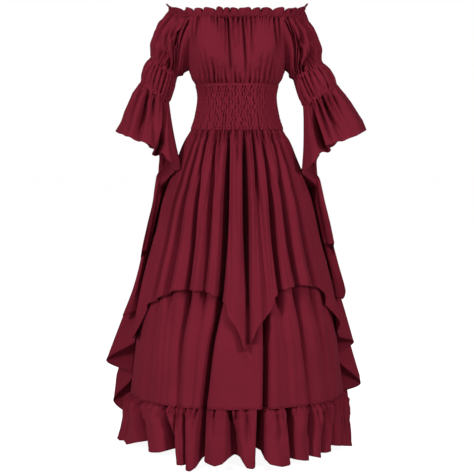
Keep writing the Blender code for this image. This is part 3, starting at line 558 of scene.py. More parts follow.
# Dark part of each front valley of the overskirt: half its width and its extra depth (mm)
# at the waist, 100 mm lower, half way and at the hem.
VALLEY_LEVELS = (-0.10, -0.20, -0.35, -0.56)
VALLEYS = dict(
    a0=dict(wide=(2.0, 3.0, 5.0, 8.0), slot=(10, 14, 12, 6)),
    a=dict(wide=(2.6, 3.6, 6.0, 9.0), slot=(18, 22, 16, 8)),
    b=dict(wide=(2.4, 3.2, 5.0, 5.0), slot=(20, 34, 38, 26)),
    c=dict(wide=(2.8, 5.0, 9.0, 10.0), slot=(17, 14, 9, 5)),
    d=dict(wide=(2.0, 4.6, 7.4, 6.0), slot=(12, 46, 52, 42)),
    e=dict(wide=(2.6, 5.4, 7.4, 5.0), slot=(20, 48, 50, 24)),
    f=dict(wide=(2.8, 4.0, 8.0, 10.0), slot=(17, 17, 4, 3)),
    g=dict(wide=(2.4, 4.2, 7.2, 6.0), slot=(18, 42, 50, 28)),
    h=dict(wide=(2.4, 4.0, 6.0, 6.5), slot=(18, 38, 40, 38)),
    i=dict(wide=(2.4, 3.6, 5.5, 6.0), slot=(14, 18, 16, 10)),
)
WIDER, DEEPER = 1.2, 1.45
# The same for the underskirt: depth (mm) below the overskirt's hem and at the ruffle.
UNDER_VALLEYS = dict(
    b=(14, 3), d=(46, 44), f=(52, 56), h=(22, 5), i=(8, 0),
    l=(26, 20), n=(30, 36), p=(24, 30),
)
BACK_VALLEY = dict(wide=(2.6, 4.5, 6.5, 6.0), slot=(0.9, 0.9, 0.95, 0.9))


def dark_part(row, z, under):
    """Half width and extra depth (m) of the narrow part of a valley."""
    if under:
        own = UNDER_VALLEYS.get(row.get("fold", "edge"), (0.0, 0.0))
        own = (own[0] + (own[1] - own[0]) * smooth_step((-0.60 - z) / 0.26)) * MM
        wide, slot = dark_part(row, z, False)
        nested = 1 - smooth_step((-0.57 - z) / 0.05)
        shown = smooth_step((-0.40 - z) / 0.06)
        return (wide + 0.002) * nested + 0.0068 * (1 - nested), (slot * nested + own * (1 - nested)) * shown
    own = VALLEYS.get(row.get("fold", "edge"))
    if own is None:
        wide = curve(VALLEY_LEVELS, BACK_VALLEY["wide"], z) * MM * WIDER
        edge = row.get("fold", "edge").startswith("edge")
        return wide, fold_depth(row, z, False) * (0.0 if edge else 1.3)
    wide = curve(VALLEY_LEVELS, own["wide"], z) * MM * WIDER
    return wide, curve(VALLEY_LEVELS, own["slot"], z) * MM * DEEPER


def fold_field(folds, u, z, under):
    """Angle and displacement at fold coordinates u and heights z (2D arrays)."""
    deg = np.zeros(z.shape)
    out = np.zeros(z.shape)
    for j in range(len(folds) - 1):
        last = j == len(folds) - 2
        pick = (u >= j) & ((u <= j + 1) if last else (u < j + 1))
        if not pick.any():
            continue
        here, ahead = folds[j], folds[j + 1]
        level = z[:, pick]
        t = np.broadcast_to(u[pick] - j, level.shape)
        t0 = fold_degrees(here, level)
        t1 = fold_degrees(ahead, level)
        deg[:, pick] = t0 * (1 - t) + t1 * t
        depth = fold_depth(here, level, under) * (1 - t) + fold_depth(ahead, level, under) * t
        shape = np.sin(math.pi * np.clip(t, 0, 1)) ** (0.46 + 0.22 * smooth_step((-0.16 - level) / 0.30))
        soft = 0.95 - (0.35 * smooth_step((-0.58 - level) / 0.08) if under else 0.0)
        out[:, pick] = -soft * depth * (1 - shape)
        around = np.radians(np.abs(t1 - t0)) * read(SKIRT, "half_width", level)
        for row, way in ((here, t), (ahead, 1 - t)):
            wide, slot = dark_part(row, level, under)
            out[:, pick] -= slot * np.exp(-(np.abs(way * around / wide) ** 3.4))
    return deg, out


def fold_degrees(row, z):
    return curve(FOLD_LEVELS, row["deg"], z)


def fold_depth(row, z, under):
    over = row["over"]
    if under:
        own = curve((-0.60, -0.72, -0.888), (row["under"][0], row["under"][0], row["under"][1]), z)
        share = smooth_step((-0.575 - z) / 0.10)
        nested = curve(FOLD_LEVELS[:3], over, z)
        return (nested * (1 - share) + own * share) * MM
    return curve(FOLD_LEVELS[:3], over, z) * MM


def under_folds(folds, edge):
    """The underskirt's folds: the overskirt's, and two more at each side."""
    side = dict(over=(4, 8, 8), under=(8, 8))
    first, last = folds[0]["deg"][0], folds[-1]["deg"][0]
    before = [dict(side, deg=(deg,) * 5) for deg in (-edge, (first - edge) / 2)]
    after = [dict(side, deg=(deg,) * 5) for deg in ((last + edge) / 2, edge)]
    return before + folds + after


def under_out(folds, edge, deg):
    """Displacement of the underskirt's lower edge at an angle."""
    rows = under_folds(folds, edge)
    places = [float(fold_degrees(row, Z_RUFFLE_SEAM)) for row in rows]
    j = int(np.clip(np.searchsorted(places, deg) - 1, 0, len(rows) - 2))
    t = min(max((deg - places[j]) / (places[j + 1] - places[j]), 0.0), 1.0)
    here, ahead = rows[j], rows[j + 1]
    depth = fold_depth(here, Z_RUFFLE_SEAM, True) * (1 - t) + fold_depth(ahead, Z_RUFFLE_SEAM, True) * t
    return float(-depth * (1 - math.sin(math.pi * t) ** 0.5))


def hem_level(hem, deg):
    """The hem's height, with its corners a little rounded."""
    total = 0.0
    for shift in (-0.7, 0.0, 0.7):
        total = total + read_straight(hem, "z", deg + shift, "deg") / 3
    return total


def level_rows(count, top_dense=0.35):
    v = spread(count)
    return (1 - top_dense) * v + top_dense * v * v


def overskirt(name, folds, hem, back, per_fold, rows, seed):
    u = stations_of(folds, per_fold)
    v = level_rows(rows)[:, None]
    end = np.zeros((1, len(u)))
    end_deg, _ = fold_field(folds, u, end - 0.56, False)
    low = hem_level(hem, end_deg)
    top = Z_WAIST_BOTTOM + 0.001
    z = top * (1 - v) + low * v
    deg, out = fold_field(folds, u, z, False)
    n = len(folds) - 1
    inner = np.minimum(u, n - u)[None, :]
    quiet = smooth_step(inner / 0.5)  # seams stay where their neighbours meet them
    arc = np.radians(deg) * read(SKIRT, "half_width", top)
    reach = float(np.abs(arc[0]).max())
    small = gather_rows(int(reach * 2 / 0.0105), -reach, reach, top, 0.045, 0.0165, 0.21, seed, wide_low=1.2, fade=0.7)
    small += gather_rows(int(reach * 2 / 0.0210), -reach, reach, top, 0.17, 0.0125, 0.11, seed + 1, sway=0.3, wide_low=1.6, fade=0.8)
    small += gather_rows(int(reach * 2 / 0.0150), -reach, reach, top, 0.48, 0.0085, 0.07, seed + 2, sway=0.5, wide_low=1.5, fade=0.6)
    out = out + grooves(arc, z, small) * quiet
    out = out + 0.0065 * np.exp(-(((top - z - 0.008) / 0.008) ** 2)) * quiet
    grow = smooth_step((top - z) / 0.25)
    out = out + 0.0036 * grow * quiet * ripple(u[None, :], v, seed + 5, ((0.9, 1.0), (1.7, 0.8), (2.9, 0.5)))
    near_point = np.exp(-(((deg - 4) / 17) ** 2))
    out = out + read(POINT_LIFT, "lift", z) * MM * near_point
    # the hem's own weight turns it out a little
    out = out + 0.004 * quiet * smooth_step((v - 0.86) / 0.14)
    out = blur(out, 0.7 * DETAIL)
    grid = ring_point(deg, z, out, back)
    return sheet_mesh(name, hemmed(grid), closed=False)


def hemmed(grid, width=0.009, step=0.0007):
    """A stitched hem along the last row: the turned cloth stands a little proud of the panel."""
    normal = normals_of(grid, False)
    along = np.linalg.norm(np.diff(grid, axis=0), axis=2)
    left = np.cumsum(along[::-1], axis=0)[::-1]
    left = np.concatenate([left, np.zeros((1, grid.shape[1]))], axis=0)
    rise = step * smooth_step((width + 0.003 - left) / 0.003) - 0.5 * step * np.exp(-(((left - width - 0.003) / 0.002) ** 2))
    return grid + rise[..., None] * normal


def underskirt(name, folds, back, per_fold, rows, seed):
    folds = under_folds(folds, 90.0)
    u = stations_of(folds, per_fold)
    v = spread(rows)[:, None]
    v = 0.55 * v + 0.45 * smooth_step(v)
    share = v**0.72  # more rows where it shows
    top = Z_WAIST_BOTTOM - 0.002
    z = top * (1 - share) + (Z_RUFFLE_SEAM) * share
    z = z + np.zeros((1, len(u)))
    deg, out = fold_field(folds, u, z, True)
    n = len(folds) - 1
    inner = np.minimum(u, n - u)[None, :]
    quiet = smooth_step(inner / 0.4)
    shows = smooth_step((-0.50 - z) / 0.10)
    out = out + 0.0034 * shows * quiet * ripple(u[None, :], v, seed, ((0.6, 1.0), (1.3, 0.8), (2.3, 0.35)), drift=0.8)
    # pulled into the seam of the ruffle
    small = gather_rows(n * 4, 0, n, Z_RUFFLE_SEAM, -0.030, 0.0016, 0.3, seed + 1, wide_low=1.3)
    for row in small:
        row["z0"], row["z1"] = Z_RUFFLE_SEAM - 0.0001, Z_RUFFLE_SEAM + abs(row["z1"] - row["z0"])
    share_up = np.zeros(z.shape)
    for row in small:
        near = np.clip((row["z1"] - z) / (row["z1"] - row["z0"]), 0, 1)
        x = (u[None, :] - row["at0"]) / row["wide0"]
        share_up -= row["deep0"] * near**1.5 * np.exp(-x * x)
    out = out + share_up * quiet
    out = out - read(SKIRT, "under", z)
    out = out - 0.0030 * smooth_step((Z_RUFFLE_SEAM + 0.008 - z) / 0.008) * quiet
    # hidden, it hangs clear of the overskirt's valleys
    out = out - 0.085 * (1 - smooth_step((-0.38 - z) / 0.09)) * smooth_step((top - z) / 0.12)
    out = blur(out, 0.7 * DETAIL)
    grid = ring_point(deg, z, out, back)
    return sheet_mesh(name, grid, thick=0)


# The front ruffle as it looks from straight ahead, measured on the upright plane through the
# gown's axis (mm). Its valleys: place across at the seam and the hem (or degrees round, at the
# sides), half the width of the recess on either side, and its depth.
RUFFLE_SHAPE = [
    dict(x=(-340, -358), left=(2, 2), right=(2, 2), deep=(0, 0)),
    dict(deg=(-81, -80), left=(4, 9), right=(4, 9), deep=(18, 26)),
    dict(deg=(-72, -72), left=(3, 8), right=(3, 8), deep=(16, 24)),
    dict(x=(-314, -334), left=(3, 4), right=(3, 4), deep=(8, 9)),
    dict(x=(-297, -282), left=(9, 26), right=(8, 10), deep=(50, 72)),
    dict(x=(-225, -211), left=(6, 12), right=(8, 19), deep=(52, 68)),
    dict(x=(-191, -191), left=(3, 8), right=(2.5, 2.5), deep=(14, 28)),
    dict(x=(-163, -160), left=(2.5, 6), right=(2, 2), deep=(12, 20)),
    dict(x=(-108, -112), left=(6, 14), right=(6, 4), deep=(50, 64)),
    dict(x=(-22, -6), left=(4, 20), right=(4, 18), deep=(30, 44)),
    dict(x=(76, 76), left=(8, 13), right=(8, 12), deep=(58, 70)),
    dict(x=(165, 175), left=(9, 4), right=(9, 11), deep=(64, 32)),
    dict(x=(228, 229), left=(3, 4), right=(4, 12), deep=(26, 30)),
    dict(x=(267, 265), left=(4, 3), right=(6, 10), deep=(30, 22)),
    dict(x=(292, 300), left=(4, 5), right=(6, 13), deep=(30, 36)),
    dict(x=(312, 327), left=(3, 4), right=(3, 4), deep=(8, 9)),
    dict(deg=(71, 72), left=(3, 8), right=(3, 8), deep=(16, 24)),
    dict(deg=(80, 80), left=(4, 9), right=(4, 9), deep=(18, 26)),
    dict(x=(340, 345), left=(2, 2), right=(2, 2), deep=(0, 0)),
]
# Its hem, seen the same way.
HEM_SEEN = [
    dict(x=-353, z=-1029), dict(x=-327, z=-1050), dict(x=-308, z=-1045), dict(x=-273, z=-1037),
    dict(x=-270, z=-1072), dict(x=-257, z=-1075), dict(x=-235, z=-1075), dict(x=-210, z=-1068),
    dict(x=-193, z=-1062), dict(x=-190, z=-1113), dict(x=-161, z=-1115), dict(x=-159, z=-1127),
    dict(x=-152, z=-1132), dict(x=-141, z=-1132), dict(x=-130, z=-1123), dict(x=-123, z=-1101),
    dict(x=-110, z=-1094), dict(x=-108, z=-1100), dict(x=-100, z=-1107), dict(x=-68, z=-1117),
    dict(x=-47, z=-1112), dict(x=-30, z=-1099), dict(x=-12, z=-1094), dict(x=11, z=-1096),
    dict(x=20, z=-1108), dict(x=30, z=-1122), dict(x=48, z=-1126), dict(x=60, z=-1122),
    dict(x=64, z=-1086), dict(x=69, z=-1080), dict(x=88, z=-1080), dict(x=91, z=-1099),
    dict(x=103, z=-1113), dict(x=138, z=-1118), dict(x=163, z=-1115), dict(x=170, z=-1111),
    dict(x=172, z=-1098), dict(x=223, z=-1100), dict(x=225, z=-1086), dict(x=262, z=-1092),
    dict(x=264, z=-1079), dict(x=294, z=-1070), dict(x=296, z=-1054), dict(x=340, z=-1054),
]
EYE_BACK, EYE_HEIGHT = 4.25, -0.145  # where it is seen from


def seen_scale(deg, z):
    """How much smaller a thing in front of that plane is than it looks."""
    return (EYE_BACK - read(SKIRT, "half_depth", z) * np.cos(np.radians(deg))) / EYE_BACK


def seen_degrees(x, z):
    deg = 0.0
    for _ in range(12):
        share = x * float(seen_scale(deg, z)) / float(read(SKIRT, "half_width", z))
        deg = math.degrees(math.asin(max(-1.0, min(1.0, share))))
    return deg


def ruffle(name, gathers, folds, back, per_fold, rows, seed):
    steps = max(5, int(round(per_fold * DETAIL)))
    t = np.arange(steps) / steps
    t = 0.4 * t + 0.6 * (0.5 - 0.5 * np.cos(math.pi * t))
    if back:
        valleys = [
            dict(
                place=(row["top"], row["hem"]), left=(4 + 0.10 * row["depth"], 4 + 0.20 * row["depth"]),
                right=(4 + 0.10 * row["depth"], 4 + 0.16 * row["depth"]), deep=(row["depth"], 1.2 * row["depth"]),
            )
            for row in gathers
        ]
    else:
        valleys = [
            dict(
                row,
                place=row["deg"] if "deg" in row else (
                    seen_degrees(row["x"][0] * MM, Z_RUFFLE_SEAM), seen_degrees(row["x"][1] * MM, SKIRT[-1]["z"])
                ),
            )
            for row in RUFFLE_SHAPE
        ]
        valleys[0]["place"], valleys[-1]["place"] = (-90.0, -90.0), (90.0, 90.0)
    n = len(valleys) - 1
    u = np.concatenate([j + t for j in range(n)] + [[float(n)]])
    v = level_rows(rows, 0.3)[:, None]
    j = np.clip(u.astype(int), 0, n - 1)
    f = u - j

    def mix(values):
        first = np.array(values)
        return (first[j] * (1 - f) + first[j + 1] * f)[None, :]

    ridge = np.sin(math.pi * np.clip(f, 0, 1))[None, :]
    top_deg = mix([row["place"][0] for row in valleys])
    hem_deg = mix([row["place"][1] for row in valleys])
    if back:
        low = np.array([row["next_rise"] for row in gathers])
        middle = np.array([(a["hem"] + b["hem"]) / 2 for a, b in zip(gathers, gathers[1:])])
        base = curve(list(middle), list(low[:-1]), hem_deg) + 2.5 * (1 - ridge**0.8)
        rise = base
        for row in gathers:
            d = np.radians(hem_deg - row["hem"]) * SKIRT[-1]["half_width"]
            rise = rise + np.maximum(row["rise"] - base, 0) * np.exp(-(np.abs(d / (0.6 * row["depth"] * MM)) ** 3))
        low_z = SKIRT[-1]["z"] + rise * MM
    else:
        scale = seen_scale(hem_deg, SKIRT[-1]["z"])
        across = SKIRT[-1]["half_width"] * np.sin(np.radians(hem_deg)) / scale
        seen = np.interp(across, [row["x"] * MM for row in HEM_SEEN], [row["z"] * MM for row in HEM_SEEN])
        low_z = EYE_HEIGHT + (seen - EYE_HEIGHT) * scale
    z = Z_RUFFLE_SEAM * (1 - v) + low_z * v
    deg = top_deg * (1 - v) + hem_deg * v
    out_top = np.array([under_out(folds, 90.0, d) for d in top_deg[0]])[None, :]
    out = out_top * (1 - smooth_step(v * 1.5))
    grown = 0.30 + 0.70 * smooth_step(v * 1.3)
    lobe = mix([row["deep"][0] * 0.5 + row["deep"][1] * 0.5 for row in valleys])
    out = out - 0.30 * lobe * MM * grown * (1 - ridge**0.75)
    radius = read(SKIRT, "half_width", z)
    for row in valleys:
        place = row["place"][0] * (1 - v) + row["place"][1] * v
        d = np.radians(deg - place) * radius
        left = (row["left"][0] * (1 - v) + row["left"][1] * v) * MM
        right = (row["right"][0] * (1 - v) + row["right"][1] * v) * MM
        deep = (row["deep"][0] * (1 - v) + row["deep"][1] * v) * MM
        out = out - deep * np.exp(-(np.abs(d / np.where(d < 0, left, right)) ** 2.7))
    inner = np.minimum(u, n - u)[None, :]
    quiet = smooth_step(inner / 0.3)
    arc = np.radians(deg) * SKIRT[-2]["half_width"]
    reach = float(np.abs(arc[0]).max())
    top = Z_RUFFLE_SEAM + 1e-6
    small = gather_rows(int(reach * 2 / 0.0105), -reach, reach, top, 0.034, 0.0165, 0.22, seed, wide_low=1.4, fade=0.8)
    small += gather_rows(int(reach * 2 / 0.030), -reach, reach, top, 0.085, 0.0170, 0.10, seed + 3, wide_low=1.8, fade=0.7)
    out = out + grooves(arc, z, small) * quiet
    out = out + 0.0035 * smooth_step(v * 2) * quiet * ripple(u[None, :], v, seed + 7, ((0.8, 1.0), (1.9, 0.7)))
    # the cloth puffs out below the seam
    out = out + 0.006 * np.sin(math.pi * np.clip(v / 0.5, 0, 1)) * (0.4 + 0.6 * ridge)
    out = out + 0.0060 * np.exp(-(((v - 0.08) / 0.06) ** 2)) * quiet
    out = blur(out, 0.7 * DETAIL)
    grid = ring_point(deg, z, out, back)
    # it stands further out at the sides
    side_way = grid[..., 0] / SKIRT[-1]["half_width"]
    more = np.where(side_way < 0, 0.016, 0.013 * (1 - v)) * smooth_step(v / 0.12)
    grid[..., 0] += np.sign(side_way) * more * np.clip(np.abs(side_way), 0, 1) ** 3
    # the seam allowance, inside the underskirt
    inside = ring_point(deg[:1] + np.zeros(out[:1].shape), z[:1] + 0.003, out[:1] - 0.014, back)
    return sheet_mesh(name, hemmed(np.concatenate([inside, grid]), width=0.008), closed=False)


def side_corner(side, sign, columns, rows, seed):
    knots = CASCADE[side]
    at = np.linspace(0, 1, len(knots))
    u = spread(columns)
    v = level_rows(rows, 0.2)[:, None]
    deg = curve(at, [k["deg"] for k in knots], u)[None, :]
    hem = curve(at, [k["hem"] for k in knots], u)[None, :]
    stand = curve(at, [k["out"] for k in knots], u)[None, :] * MM
    z = (Z_WAIST_BOTTOM + 0.001) * (1 - v) + hem * v
    deg = deg + np.zeros(z.shape)
    grow = np.clip((-0.50 - z) / 0.285, 0.0, 1.25)
    front_depth = FRONT_FOLDS[-1 if side == "left" else 0]["over"]
    back_depth = BACK_FOLDS[0 if side == "left" else -1]["over"]
    edge = curve(FOLD_LEVELS[:3], front_depth, z) * (1 - u) + curve(FOLD_LEVELS[:3], back_depth, z) * u
    edge = edge * MM * np.maximum(0.0, 1 - np.minimum(u, 1 - u) * 9)[None, :]
    quiet = smooth_step(np.minimum(u, 1 - u) / 0.08)[None, :]
    out = stand * grow - edge
    small = gather_rows(18, 0, 1, Z_WAIST_BOTTOM + 0.001, 0.05, 0.0080, 0.24, seed, wide_low=1.5, fade=0.8)
    small += gather_rows(6, 0, 1, Z_WAIST_BOTTOM + 0.001, 0.50, 0.020, 0.15, seed + 1, wide_low=1.7, fade=0.6)
    out = out + grooves(u[None, :], z, small) * quiet
    out = out + 0.004 * quiet * smooth_step((-0.2 - z) / 0.2) * ripple(u[None, :], v, seed + 2, ((2.6, 1.0), (5.1, 0.6)))
    out = blur(out, 1.0 * DETAIL)
    grid = ring_point(deg * sign, z, out)
    return sheet_mesh("overskirt_side_" + side + "_cloth", hemmed(grid), closed=False)


# ---------------------------------------------------------------- body

def body_points(deg, z, out=0.0):
    side = np.radians(deg)
    s, c = np.sin(side), np.cos(side)
    power = read(BODY, "power", z)
    front, behind = read(BODY, "front", z), read(BODY, "back", z)
    depth = np.where(c >= 0, front, behind) + out
    width = read(BODY, "half_width", z) + out
    x = width * np.sign(s) * np.abs(s) ** (2 / power)
    y = -depth * np.sign(c) * np.abs(c) ** (2 / power)
    return np.stack([x, y, np.broadcast_to(z, x.shape)], axis=-1)


def armhole_at(z):
    levels = [row["z"] for row in BODY]
    order = np.argsort(levels)
    return np.interp(z, np.array(levels)[order], np.array([row["armhole"] for row in BODY])[order])


def bodice(front, columns, rows, seed):
    share = spread(columns, -1, 1)
    share = share[None, :]
    z = np.concatenate([
        np.linspace(Z_BODICE_TOP, 0.095, max(4, int(rows * 0.6 * DETAIL))),
        np.linspace(0.093, 0.0795, max(3, int(rows * 0.14 * DETAIL))),
        np.linspace(0.078, Z_WAIST_TOP, max(3, int(rows * 0.26 * DETAIL))),
    ])[:, None] + np.zeros(share.shape)
    half = armhole_at(z)
    deg = half * share
    quiet = smooth_step((1 - np.abs(share)) / 0.10)
    out = np.zeros(z.shape)
    width = read(BODY, "half_width", z)
    across = width * np.sin(np.radians(deg))  # metres from the centre line
    if front:
        off = np.abs(deg)
        out = out + 0.013 * np.exp(-(((off - 33) / 19) ** 2) - ((z - 0.135) / 0.048) ** 2) * (1 - share**6)
        out = out + bodice_gathers(across, z, seed) * quiet
    else:
        rows_top = gather_rows(26, -0.14, 0.14, Z_BODICE_TOP, 0.16, 0.0070, 0.26, seed, wide_low=1.6)
        out = out + grooves(across, z, rows_top) * quiet
    # blousing over the shirred waist
    out = out + 0.004 * np.exp(-(((z - 0.052) / 0.012) ** 2)) * quiet
    out = out - 0.002 * smooth_step((z - Z_BODICE_TOP + 0.006) / 0.006)
    out = blur(out, 0.8 * DETAIL)
    grid = body_points(deg if front else 180 - deg, z, out)
    return sheet_mesh("bodice_front_cloth" if front else "bodice_back_cloth", grid, thick=0)


# Long tucks of the front: where each begins and ends across the front and in height (mm),
# half its width and its depth. Those that rise from the waist begin at the waist.
LONG_TUCKS = [
    dict(x0=-46, z0=237, x1=-43, z1=165, wide=2.6, deep=7),
    dict(x0=-35, z0=237, x1=-34, z1=150, wide=2.6, deep=8),
    dict(x0=-27, z0=237, x1=-22, z1=105, wide=3.0, deep=12),
    dict(x0=-19, z0=237, x1=-13, z1=30, wide=3.2, deep=16),
    dict(x0=-7, z0=237, x1=-4, z1=150, wide=2.8, deep=11),
    dict(x0=2, z0=237, x1=-1, z1=120, wide=2.6, deep=9),
    dict(x0=9, z0=237, x1=26, z1=34, wide=2.8, deep=15),
    dict(x0=19, z0=237, x1=20, z1=158, wide=2.6, deep=10),
    dict(x0=30, z0=237, x1=38, z1=100, wide=2.8, deep=9),
    dict(x0=41, z0=237, x1=44, z1=172, wide=2.6, deep=7),
    dict(x0=98, z0=237, x1=112, z1=95, wide=3.4, deep=13),
    dict(x0=113, z0=237, x1=124, z1=110, wide=3.4, deep=12),
    dict(x0=-104, z0=237, x1=-122, z1=120, wide=3.6, deep=9),
    dict(x0=-122, z0=237, x1=-132, z1=120, wide=3.6, deep=9),
]
RISING_TUCKS = [
    dict(x0=-104, z0=34, x1=-112, z1=98, wide=3.4, deep=8),
    dict(x0=-90, z0=34, x1=-97, z1=128, wide=3.6, deep=9),
    dict(x0=-77, z0=34, x1=-84, z1=140, wide=3.8, deep=10),
    dict(x0=-64, z0=34, x1=-64, z1=112, wide=3.2, deep=16),
    dict(x0=-53, z0=34, x1=-52, z1=108, wide=3.0, deep=8),
    dict(x0=-42, z0=34, x1=-44, z1=86, wide=3.0, deep=9),
    dict(x0=-30, z0=34, x1=-32, z1=96, wide=3.0, deep=10),
    dict(x0=-2, z0=34, x1=-6, z1=88, wide=3.0, deep=13),
    dict(x0=10, z0=34, x1=7, z1=70, wide=2.6, deep=10),
    dict(x0=36, z0=34, x1=35, z1=94, wide=3.2, deep=10),
    dict(x0=50, z0=34, x1=51, z1=82, wide=3.0, deep=9),
    dict(x0=62, z0=34, x1=64, z1=130, wide=3.6, deep=9),
    dict(x0=76, z0=34, x1=82, z1=125, wide=3.6, deep=9),
    dict(x0=92, z0=34, x1=100, z1=140, wide=3.4, deep=11),
    dict(x0=105, z0=34, x1=113, z1=100, wide=3.2, deep=9),
]


def tucks(x, z, rows):
    total = np.zeros(x.shape)
    for row in rows:
        z0, z1 = row["z0"] * MM, row["z1"] * MM
        share = np.clip((z - z0) / (z1 - z0), 0, 1)
        at = (row["x0"] + (row["x1"] - row["x0"]) * share) * MM
        near = np.clip(1 - share, 0, 1) ** 0.55
        wide = row["wide"] * MM * (0.8 + 0.7 * share)
        total -= row["deep"] * MM * near * np.exp(-(((x - at) / wide) ** 2))
    return total


def bodice_gathers(x, z, seed):
    """Short tucks at both gathered edges, and the long ones of the tables."""
    total = 1.45 * tucks(x, z, LONG_TUCKS) + 1.35 * tucks(x, z, RISING_TUCKS)
    top = gather_rows(42, -0.150, 0.150, Z_BODICE_TOP, 0.036, 0.0105, 0.24, seed, wide_low=1.5, fade=0.8)
    total += grooves(x, z, top) * (0.80 + 0.35 * np.exp(-((x / 0.045) ** 2)) + 0.25 * smooth_step((np.abs(x) - 0.10) / 0.03))
    rise = gather_rows(38, -0.122, 0.122, Z_WAIST_TOP, 0.032, 0.0090, 0.24, seed + 4, wide_low=1.5)
    for row in rise:
        reach = row["z0"] - row["z1"]
        near = np.clip((Z_WAIST_TOP + reach - z) / reach, 0, 1)
        wide = row["wide1"] + (row["wide0"] - row["wide1"]) * near
        g = (x - (row["at1"] + (row["at0"] - row["at1"]) * near)) / wide
        total -= row["deep0"] * near * np.exp(-g * g)
    return total


SHIR_ROWS = 11


def waist(front, columns, rows, seed):
    """Rows of elastic pull the cloth into fine upright wrinkles that shift from row to row."""
    share = spread(columns, -1, 1)[None, :]
    v = spread(rows)[:, None]
    z = Z_WAIST_TOP * (1 - v) + Z_WAIST_BOTTOM * v + np.zeros(share.shape)
    end_in = 0.0015 * smooth_step((v - 0.93) / 0.07) * np.abs(share) ** 4
    deg = 90 * share
    row = v * SHIR_ROWS
    within = row - np.floor(row)
    band = np.floor(row).astype(int)
    pinch = np.abs(np.sin(math.pi * row))
    pinch = pinch**0.7
    wrinkle = np.zeros(z.shape)
    w = share[0] * 42 / 2
    common = 1.3 * np.sin(6.283 * (w * 0.061 + 0.2)) + 0.8 * np.sin(6.283 * (w * 0.14 + 0.6))
    for k in range(SHIR_ROWS + 1):
        pick = band[:, 0] == k
        if not pick.any():
            continue
        own = 0.55 * np.sin(6.283 * (w * 0.11 + hashed(k, seed, 4))) + 0.45 * np.sin(6.283 * (w * 0.27 + hashed(k, seed, 5)))
        wave = np.sin(6.283 * w + common + own + (1.7 if k % 2 else 0.0))
        size = 0.75 + 0.35 * np.sin(6.283 * (w * 0.37 + hashed(k, seed, 6)))
        wrinkle[pick] = -(((1 - wave) / 2) ** 2.6) * size
    wrinkle = blur(wrinkle, 1.2 * DETAIL, axis=0)
    quiet = smooth_step((1 - np.abs(share)) / 0.02) * smooth_step((Z_WAIST_TOP - z) / 0.004)
    facing = 1 - 0.35 * np.abs(share) ** 4
    out = 0.0070 * wrinkle * (0.72 + 0.28 * pinch) * quiet * facing + 0.0005 * (pinch - 0.5) + 0.0012
    # the last row stands out in small scallops
    edge = np.exp(-(((z - Z_WAIST_BOTTOM - 0.005) / 0.004) ** 2))
    out = out + edge * (0.0004 + 0.0022 * np.sin(6.283 * w * 0.6 + common)) * (1 - share**6) ** 2
    place, out = (deg if front else 180 - deg), out - end_in
    # seam allowances, inside the bodice and the skirts
    grid = np.concatenate([
        body_points(place, z[:1] + 0.0060, out[:1] - 0.0080),
        body_points(place, z[:1] + 0.0006, out[:1] - 0.0008),
        body_points(place, z, out),
        body_points(place, z[-1:] - 0.0006, out[-1:] - 0.0008),
        body_points(place, z[-1:] - 0.0060, out[-1:] - 0.0100),
    ])
    return sheet_mesh("waist_front_cloth" if front else "waist_back_cloth", grid, thick=0)


# ---------------------------------------------------------------- sleeves

def resample(points, count, closed=True):
    """The same line in equal steps."""
    line = np.concatenate([points, points[:1]]) if closed else points
    step = np.linalg.norm(np.diff(line, axis=0), axis=1)
    reach = np.concatenate([[0], np.cumsum(step)])
    to = np.linspace(0, reach[-1], count + 1)[:-1] if closed else np.linspace(0, reach[-1], count)
    return np.stack([np.interp(to, reach, line[:, k]) for k in range(3)], axis=1)


def armhole_line(sign, count):
    """Edge of the sleeve: under the arm, up the front seam, over the shoulder, down behind."""
    z = np.concatenate([np.linspace(0.0792, 0.0925, 24)[:-1], np.linspace(0.0925, Z_BODICE_TOP, 60)])
    front = body_points(sign * armhole_at(z), z)
    back = body_points(sign * (180 - armhole_at(z)), z)[::-1]
    deg = np.linspace(37.8, 142.2, 90)[1:-1]
    over = body_points(sign * deg, np.full(deg.shape, Z_BODICE_TOP))
    over[:, 2] = [neck_level(d) for d in deg]
    return resample(np.concatenate([front, over, back[:-1]]), count)


def rings_between(first, second, shares, swell, out, reach_full):
    length = np.linalg.norm(second - first, axis=1, keepdims=True)
    scale = np.minimum(length / reach_full, 1.15)
    lines = []
    for t in shares:
        lines.append(first * (1 - t) + second * t + swell(t) * MM * scale * out(t))
    return lines


def blended(first, second, t):
    way = first * (1 - t) + second * t
    return way / np.linalg.norm(way, axis=1, keepdims=True)


def tube_gathers(u, s, count, seed, deep, reach, wide=0.25, low=1.8, fade=1.0):
    """Tucks along a tube, from s = 0 onwards; u wraps round at 1."""
    total = np.zeros((len(s), u.shape[-1]))
    for k in range(count):
        r = [hashed(k, seed, n) for n in range(6)]
        at = (k + 0.5 + 0.6 * (r[0] - 0.5)) / count
        end = reach * (0.5 + 0.8 * r[2])
        near = np.clip(1 - s / end, 0, 1)[:, None] ** fade
        width = wide / count * (0.7 + 0.6 * r[3]) * (1 + (low - 1) * (1 - near))
        centre = at + (r[1] - 0.5) * 0.9 / count * s[:, None]
        x = (u if u.ndim == 2 else u[None, :]) - centre
        x = x - np.round(x)
        total -= deep * (0.5 + 0.9 * r[4]) * near * np.exp(-((x / width) ** 2))
    return total


# How much further out the arm stands on its outer side, along each part of it (mm).
OUTLINE = dict(
    right=dict(puff=(0, 2, 0, 2, 9, 9), middle=(8, 8, 6, 6), bell=(6, 12, 8, 3, -9, -14)),
    left=dict(puff=(0, -14, -13, -8, 0, 5), middle=(5, 5, 8, 8), bell=(8, 14, 16, 14, 10, -3)),
)


